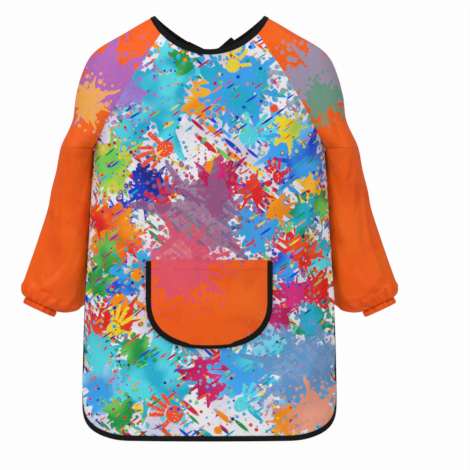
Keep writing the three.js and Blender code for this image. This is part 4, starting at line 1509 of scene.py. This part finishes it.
class SMOCK_OT_bindings(bpy.types.Operator):
    """Fold the bias tape over every free edge"""

    bl_idname = "smock.bindings"
    bl_label = "Bindings"

    def execute(self, context):
        front = tape_piece("neck_tape", [neck_run()], seed=2)
        hem = tape_piece("hem_tape", [hem_run()], seed=3)
        for piece, node in ((front, "neck_binding"), (hem, "hem_binding")):
            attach(piece, "garment")
            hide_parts(node)
        for side, sign in SIDES:
            for name, run in (("flap_binding", flap_run()), ("flap_neck_binding", nape_run())):
                run = run if sign > 0 else mirror_run(run)
                piece = tape_piece(f"{side}_{name.replace('binding', 'tape')}", [run], seed=5)
                follow_flap(piece)
                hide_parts(f"{side}_{name}")
        return {"FINISHED"}


class SMOCK_OT_pocket(bpy.types.Operator):
    """Lay the patch pocket with its turned mouth and bound edge"""

    bl_idname = "smock.pocket"
    bl_label = "Pocket"

    def execute(self, context):
        columns = POCKET_COLUMNS
        foot = pocket_foot(EDGE_TUCK)
        grid = [[(x, lerp(up, POCKET["top"], v)) for x, up in foot] for v in span(POCKET_ROWS)]
        folds = [(-60, 245, -30, 175, 9, 1.0), (20, 250, 42, 170, 10, 1.2),
                 (58, 236, 66, 176, 8, 0.9)]
        points = []
        for row in grid:
            for x, up in row:
                wave = sum(ridge(x, up, line) for line in folds)
                points.append(pocket_point(x, up, wave))
        faces = outward(points, grid_faces(POCKET_ROWS + 1, columns + 1), (0, 0, 200))
        panel = new_piece("pocket_cloth", [metres(p) for p in points], faces,
                          ["Orange coated cloth", "Coated inner face"])
        flat_map(panel, [(x / 1000, up / 1000) for row in grid for x, up in row])
        thicken(panel, context.scene.smock_sizes.cloth)
        turn = [(0.15, 0.0), (-0.1, 0.9), (-0.8, 1.3), (-1.5, 0.9), (-1.8, 0.0), (-1.9, -3.5),
                (-1.9, -7.0), (-1.9, -10.5), (-1.7, -POCKET_HEM)]
        xs = span(columns, -POCKET["half"] + EDGE_TUCK, POCKET["half"] - EDGE_TUCK)
        points = [pocket_point(x, POCKET["top"] + down, lift) for lift, down in turn for x in xs]
        faces = outward(points[:2 * len(xs)], grid_faces(2, len(xs)), (0, 0, 240))
        flipped = faces[0][0] > faces[0][-1]
        faces = grid_faces(len(turn), len(xs))
        faces = [tuple(reversed(face)) for face in faces] if flipped else faces
        hem = new_piece("pocket_mouth_hem", [metres(p) for p in points], faces,
                        ["Orange coated cloth", "Coated inner face"])
        flat_map(hem, [(x / 1000, 0.25 + k * 0.002) for k in range(len(turn)) for x in xs])
        thicken(hem, context.scene.smock_sizes.cloth)
        edge = tape_piece("pocket_tape", [pocket_run()], POCKET_STAND + BINDING_RISE, 0.4, seed=4)
        for piece, node, finish in ((panel, "pocket_panel", "orange_cloth"),
                                    (hem, "pocket_hem", "orange_cloth"),
                                    (edge, "pocket_binding", "binding_tape")):
            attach(piece, "garment")
            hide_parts(node)
        as_sheet(panel, 0.18, 0.13)
        return {"FINISHED"}


class SMOCK_OT_label(bpy.types.Operator):
    """Catch the folded side label beside the pocket"""

    bl_idname = "smock.label"
    bl_label = "Side label"

    def execute(self, context):
        section = [(0.0, 0.2), (0.0, 0.55), (0.75, 0.72), (0.95, 0.62), (1.0, 0.42), (0.95, 0.2),
                   (0.75, 0.1)]
        ups = span(8, LABEL["up"], LABEL["up"] + LABEL["height"])
        points = []
        for up in ups:
            for share, lift in section:
                x = POCKET["half"] + 0.3 + share * LABEL["width"]
                points.append(lifted(body, on_front(x, up), lift + 0.35 + 1.2 * share))
        size = len(section)
        faces = grid_faces(len(ups), size, closed=True)
        last = (len(ups) - 1) * size
        faces += [tuple(range(size - 1, -1, -1)), tuple(range(last, last + size))]
        piece = new_piece("blank_label", [metres(p) for p in points], faces, ["Woven label"])
        turned_out(piece)
        crisp = piece.modifiers.new("Edges", "BEVEL")
        crisp.width = 0.00012
        crisp.segments = 2
        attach(piece, "garment")
        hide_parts("side_label")
        return {"FINISHED"}


def strap(name, tab, start, end, half, low, high, finish, crown):
    """A flat strap that leaves its root at the tab's angle, with rounded corners."""
    angle = math.radians(tab["angle"])
    along = np.array([math.cos(angle), 0, math.sin(angle)])
    across = np.array([-math.sin(angle), 0, math.cos(angle)])
    root = np.array([tab["x"], TAB_FACE, tab["height"]])
    shape = bmesh.new()
    corner = 2.2
    outline = [(start, -half), (end - corner, -half)]
    outline += [(end - corner + corner * math.sin(a), -half + corner - corner * math.cos(a))
                for a in span(5, 0, math.pi / 2)[1:]]
    outline += [(end - corner + corner * math.cos(a), half - corner + corner * math.sin(a))
                for a in span(5, 0, math.pi / 2)]
    outline += [(start, half)]
    loops = []
    for lift, inset in ((low, 0.25), (lerp(low, high, 0.3), 0), (lerp(low, high, 0.8), 0),
                        (high, 0.35)):
        ring = []
        for u, v in outline:
            u = min(max(u, start + inset), end - inset)
            v = min(max(v, -half + inset), half - inset)
            p = root + along * u + across * v + np.array([0, lift, 0])
            ring.append(shape.verts.new(metres(p)))
        loops.append(ring)
    count = len(outline)
    for a, b in zip(loops, loops[1:]):
        for i in range(count):
            shape.faces.new((a[i], a[(i + 1) % count], b[(i + 1) % count], b[i]))
    for ring, lift in ((loops[0], low), (loops[-1], high + crown)):
        u, v = (start + end) / 2, 0
        middle = shape.verts.new(metres(root + along * u + across * v + np.array([0, lift, 0])))
        for i in range(count):
            shape.faces.new((ring[i], ring[(i + 1) % count], middle))
    bmesh.ops.recalc_face_normals(shape, faces=shape.faces)
    piece = new_piece(name, [], [], [finish])
    shape.to_mesh(piece.data)
    shape.free()
    piece.data.shade_smooth()
    soft = piece.modifiers.new("Edges", "BEVEL")
    soft.width = 0.00025
    soft.segments = 2
    soft.limit_method = "ANGLE"
    return piece


class SMOCK_OT_tabs(bpy.types.Operator):
    """Sew on the hook and loop tabs at the nape"""

    bl_idname = "smock.tabs"
    bl_label = "Nape closure"

    def execute(self, context):
        half = TAB["width"] / 2
        for kind, tab, body_name in (("hook", HOOK_TAB, "hook_closure"),
                                     ("loop", LOOP_TAB, "right_flap")):
            bar = strap(f"{kind}_strap", tab, 0, tab["length"], half, 0, TAB["thickness"],
                        "Bias tape", 0.05)
            low = TAB["thickness"] + 0.1
            pile = strap(f"{kind}_pile", tab, TAB["inset"] * 2, tab["length"] - TAB["inset"],
                         half - TAB["inset"], low, low + TAB["pile"] + 0.2, "Brushed pile", 0.15)
            for piece, node, finish in ((bar, f"{kind}_tab", "closure_tape"),
                                        (pile, f"{kind}_tape", "closure_pile")):
                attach(piece, body_name)
                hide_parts(node)
        return {"FINISHED"}


# ------------------------------------------------------------------------------ stitches
def stitch_tree():
    """Repeats one short stitch along every edge of the guide lines it is given."""
    tree = bpy.data.node_groups.new("Run of stitches", "GeometryNodeTree")
    face = tree.interface
    face.new_socket("Geometry", in_out="INPUT", socket_type="NodeSocketGeometry")
    for label in ("Pitch", "Stitch length", "Thread"):
        face.new_socket(label, in_out="INPUT", socket_type="NodeSocketFloat")
    face.new_socket("Finish", in_out="INPUT", socket_type="NodeSocketMaterial")
    face.new_socket("Geometry", in_out="OUTPUT", socket_type="NodeSocketGeometry")
    add, link = tree.nodes.new, tree.links.new
    entry, leave = add("NodeGroupInput"), add("NodeGroupOutput")
    line = add("GeometryNodeMeshToCurve")
    even = add("GeometryNodeResampleCurve")
    even.mode = "LENGTH"
    tangent = add("GeometryNodeInputTangent")
    aim = add("FunctionNodeAlignRotationToVector")
    aim.axis = "X"
    thread = add("GeometryNodeMeshUVSphere")
    thread.inputs["Segments"].default_value = 6
    thread.inputs["Rings"].default_value = 4
    thread.inputs["Radius"].default_value = 0.5
    size = add("ShaderNodeCombineXYZ")
    shaped = add("GeometryNodeTransform")
    repeat = add("GeometryNodeInstanceOnPoints")
    real = add("GeometryNodeRealizeInstances")
    dye = add("GeometryNodeSetMaterial")
    link(entry.outputs["Geometry"], line.inputs[0])
    link(line.outputs[0], even.inputs["Curve"])
    link(entry.outputs["Pitch"], even.inputs["Length"])
    link(tangent.outputs[0], aim.inputs["Vector"])
    link(entry.outputs["Stitch length"], size.inputs[0])
    link(entry.outputs["Thread"], size.inputs[1])
    link(entry.outputs["Thread"], size.inputs[2])
    link(thread.outputs[0], shaped.inputs[0])
    link(size.outputs[0], shaped.inputs["Scale"])
    link(even.outputs[0], repeat.inputs["Points"])
    link(shaped.outputs[0], repeat.inputs["Instance"])
    link(aim.outputs[0], repeat.inputs["Rotation"])
    link(repeat.outputs[0], real.inputs[0])
    link(real.outputs[0], dye.inputs[0])
    link(entry.outputs["Finish"], dye.inputs["Material"])
    link(dye.outputs[0], leave.inputs[0])
    return tree


def stitches(name, runs, finish):
    """Stitches along guide lines, as one plain mesh."""
    points, edges = [], []
    for run in runs:
        edges += [(len(points) + i, len(points) + i + 1) for i in range(len(run) - 1)]
        points += [metres(p) for p in run]
    guide = bpy.data.meshes.new(name)
    guide.from_pydata(points, edges, [])
    piece = bpy.data.objects.new(name, guide)
    bpy.context.scene.collection.objects.link(piece)
    tree = bpy.data.node_groups.get("Run of stitches") or stitch_tree()
    sewn = piece.modifiers.new("Stitches", "NODES")
    sewn.node_group = tree
    sizes = bpy.context.scene.smock_sizes
    values = {"Pitch": sizes.pitch, "Stitch length": sizes.stitch, "Thread": sizes.thread,
              "Finish": material(finish)}
    for item in tree.interface.items_tree:
        if item.in_out == "INPUT" and item.name in values:
            sewn[item.identifier] = values[item.name]
    bpy.context.view_layer.update()
    shown = piece.evaluated_get(bpy.context.evaluated_depsgraph_get())
    mesh = bpy.data.meshes.new_from_object(shown)
    piece.modifiers.clear()
    piece.data = mesh
    mesh.shade_smooth()
    if not mesh.polygons:
        raise RuntimeError(f"{name} came out empty")
    return piece


def on_tape(run, share, lift):
    outer, inner, normals = run
    return [o + (n - o) * share + out * lift for o, n, out in zip(outer, inner, normals)]


class SMOCK_OT_stitches(bpy.types.Operator):
    """Sew the tapes, the pocket and the cuffs down with rows of stitches"""

    bl_idname = "smock.stitches"
    bl_label = "Stitches"

    def execute(self, context):
        top = BINDING_RISE + 0.05
        lines = [on_tape(run, STITCH_LINE, top) for run in (neck_run(), hem_run())]
        lines.append(on_tape(pocket_run(), STITCH_LINE, POCKET_STAND + top))
        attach(stitches("tape_stitches", lines, "Sewing thread"), "garment")
        mouth = [pocket_point(x, POCKET["top"] - POCKET_HEM + 2, 0.12)
                 for x in span(60, -POCKET["half"] + 9, POCKET["half"] - 9)]
        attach(stitches("mouth_stitches", [mouth], "Sleeve thread"), "garment")
        for side, sign in SIDES:
            runs = [flap_run(), nape_run()]
            runs = runs if sign > 0 else [mirror_run(run) for run in runs]
            sewn = stitches(f"{side}_flap_stitches", [on_tape(r, STITCH_LINE, top) for r in runs],
                            "Sewing thread")
            follow_flap(sewn)
            loop = [cuff_point(i / 240, 0.35, 0.9) for i in range(241)]
            loop = loop if sign > 0 else mirrored([loop])[0]
            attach(stitches(f"{side}_cuff_stitches", [loop], "Sleeve thread"), f"{side}_arm")
        return {"FINISHED"}


class SMOCK_OT_stage(bpy.types.Operator):
    """Set the pale studio, its soft lights and the camera"""

    bl_idname = "smock.stage"
    bl_label = "Studio"

    def execute(self, context):
        scene = context.scene
        scene.view_settings.view_transform = "Standard"
        scene.view_settings.look = "None"
        def paper(s):
            grain = s.noise(s.object_place(), 3.0, 2.0)
            return {"Base Color": s.mix(grain, (0.9, 0.9, 0.9), (0.94, 0.94, 0.94)),
                    "Roughness": 0.85 + 0.1 * grain}

        def backcloth(s):
            grain = s.noise(s.object_place(), 0.2, 1.0)
            return {"Base Color": (0, 0, 0, 1),
                    "Emission Color": s.mix(grain, (0.97, 0.97, 0.97), (1.0, 1.0, 1.0))}

        new_material("Studio paper", paper, **{"Specular IOR Level": 0.0})
        new_material("Studio backcloth", backcloth,
                     **{"Specular IOR Level": 0.0, "Roughness": 1.0, "Emission Strength": 1.0})
        floor = [(0.0, FLOOR), (0.35, FLOOR), (0.7, FLOOR), (1.05, FLOOR)]
        dome = [(1.05, FLOOR - 0.001), (4.0, FLOOR - 0.001), (8.0, FLOOR - 0.001), (9.5, -0.2),
                (10.0, 1.5), (9.0, 5.0), (6.0, 8.0), (0.0, 9.0)]
        for name, line, finish in (("studio_floor", floor, "Studio paper"),
                                   ("studio_backcloth", dome, "Studio backcloth")):
            points = [(r * math.cos(math.radians(a)), r * math.sin(math.radians(a)), z)
                      for r, z in line for a in range(0, 360, 5)]
            mesh = bpy.data.meshes.new(name)
            mesh.from_pydata(points, [], grid_faces(len(line), 72, closed=True))
            mesh.materials.append(bpy.data.materials[finish])
            mesh.shade_smooth()
            ground = bpy.data.objects.new(name, mesh)
            scene.collection.objects.link(ground)
        for unseen in ("diffuse", "glossy", "transmission", "shadow", "volume_scatter"):
            setattr(ground, "visible_" + unseen, False)
        lamps = [
            ("key_light", (-1.7, -2.0, 1.3), 1.5, 31.0), ("fill_light", (1.8, -2.0, 0.3), 1.8, 12.0),
            ("top_light", (0.0, -0.4, 1.9), 1.6, 13.0),
        ]
        for name, place, size, power in lamps:
            data = bpy.data.lights.new(name, "AREA")
            data.shape = "DISK"
            data.size = size
            data.energy = power
            lamp = bpy.data.objects.new(name, data)
            lamp.location = place
            aim = Vector((0, 0, -0.3)) - Vector(place)
            lamp.rotation_euler = aim.to_track_quat("-Z", "Y").to_euler()
            scene.collection.objects.link(lamp)
        world = bpy.data.worlds.new("Studio air")
        world.use_nodes = True
        world.node_tree.nodes["Background"].inputs["Color"].default_value = (1, 1, 1, 1)
        world.node_tree.nodes["Background"].inputs["Strength"].default_value = 0.4
        scene.world = world
        data = bpy.data.cameras.new("view")
        data.sensor_width = 36
        data.lens = data.sensor_width * VIEW_AWAY / VIEW_WIDTH
        camera = bpy.data.objects.new("view", data)
        camera.location = (0.0362, -VIEW_AWAY, -0.3103)
        camera.rotation_euler = (math.radians(90), 0, 0)
        scene.collection.objects.link(camera)
        scene.camera = camera
        return {"FINISHED"}


STEPS = (SMOCK_OT_front, SMOCK_OT_shoulders, SMOCK_OT_sleeves, SMOCK_OT_cuffs, SMOCK_OT_flaps,
         SMOCK_OT_bindings, SMOCK_OT_pocket, SMOCK_OT_label, SMOCK_OT_tabs, SMOCK_OT_stitches,
         SMOCK_OT_stage)


class SMOCK_PT_panel(bpy.types.Panel):
    """The smock's pieces, sizes and colours"""

    bl_idname = "SMOCK_PT_panel"
    bl_label = "Artist smock"
    bl_space_type = "VIEW_3D"
    bl_region_type = "UI"
    bl_category = "Smock"

    def draw(self, context):
        for step in STEPS:
            self.layout.operator(step.bl_idname)
        for key in SmockSizes.__annotations__:
            self.layout.prop(context.scene.smock_sizes, key)
        for key in COLOURS:
            self.layout.prop(context.scene.smock_colours, key)


CLASSES = (SmockColours, SmockSizes, *STEPS, SMOCK_PT_panel)


def register():
    for made in CLASSES:
        bpy.utils.register_class(made)
    bpy.types.Scene.smock_colours = bpy.props.PointerProperty(type=SmockColours)
    bpy.types.Scene.smock_sizes = bpy.props.PointerProperty(type=SmockSizes)


def unregister():
    del bpy.types.Scene.smock_sizes
    del bpy.types.Scene.smock_colours
    for made in reversed(CLASSES):
        bpy.utils.unregister_class(made)


def main():
    register()
    for step in STEPS:
        group, name = step.bl_idname.split(".")
        getattr(getattr(bpy.ops, group), name)()


if __name__ == "__main__":
    main()
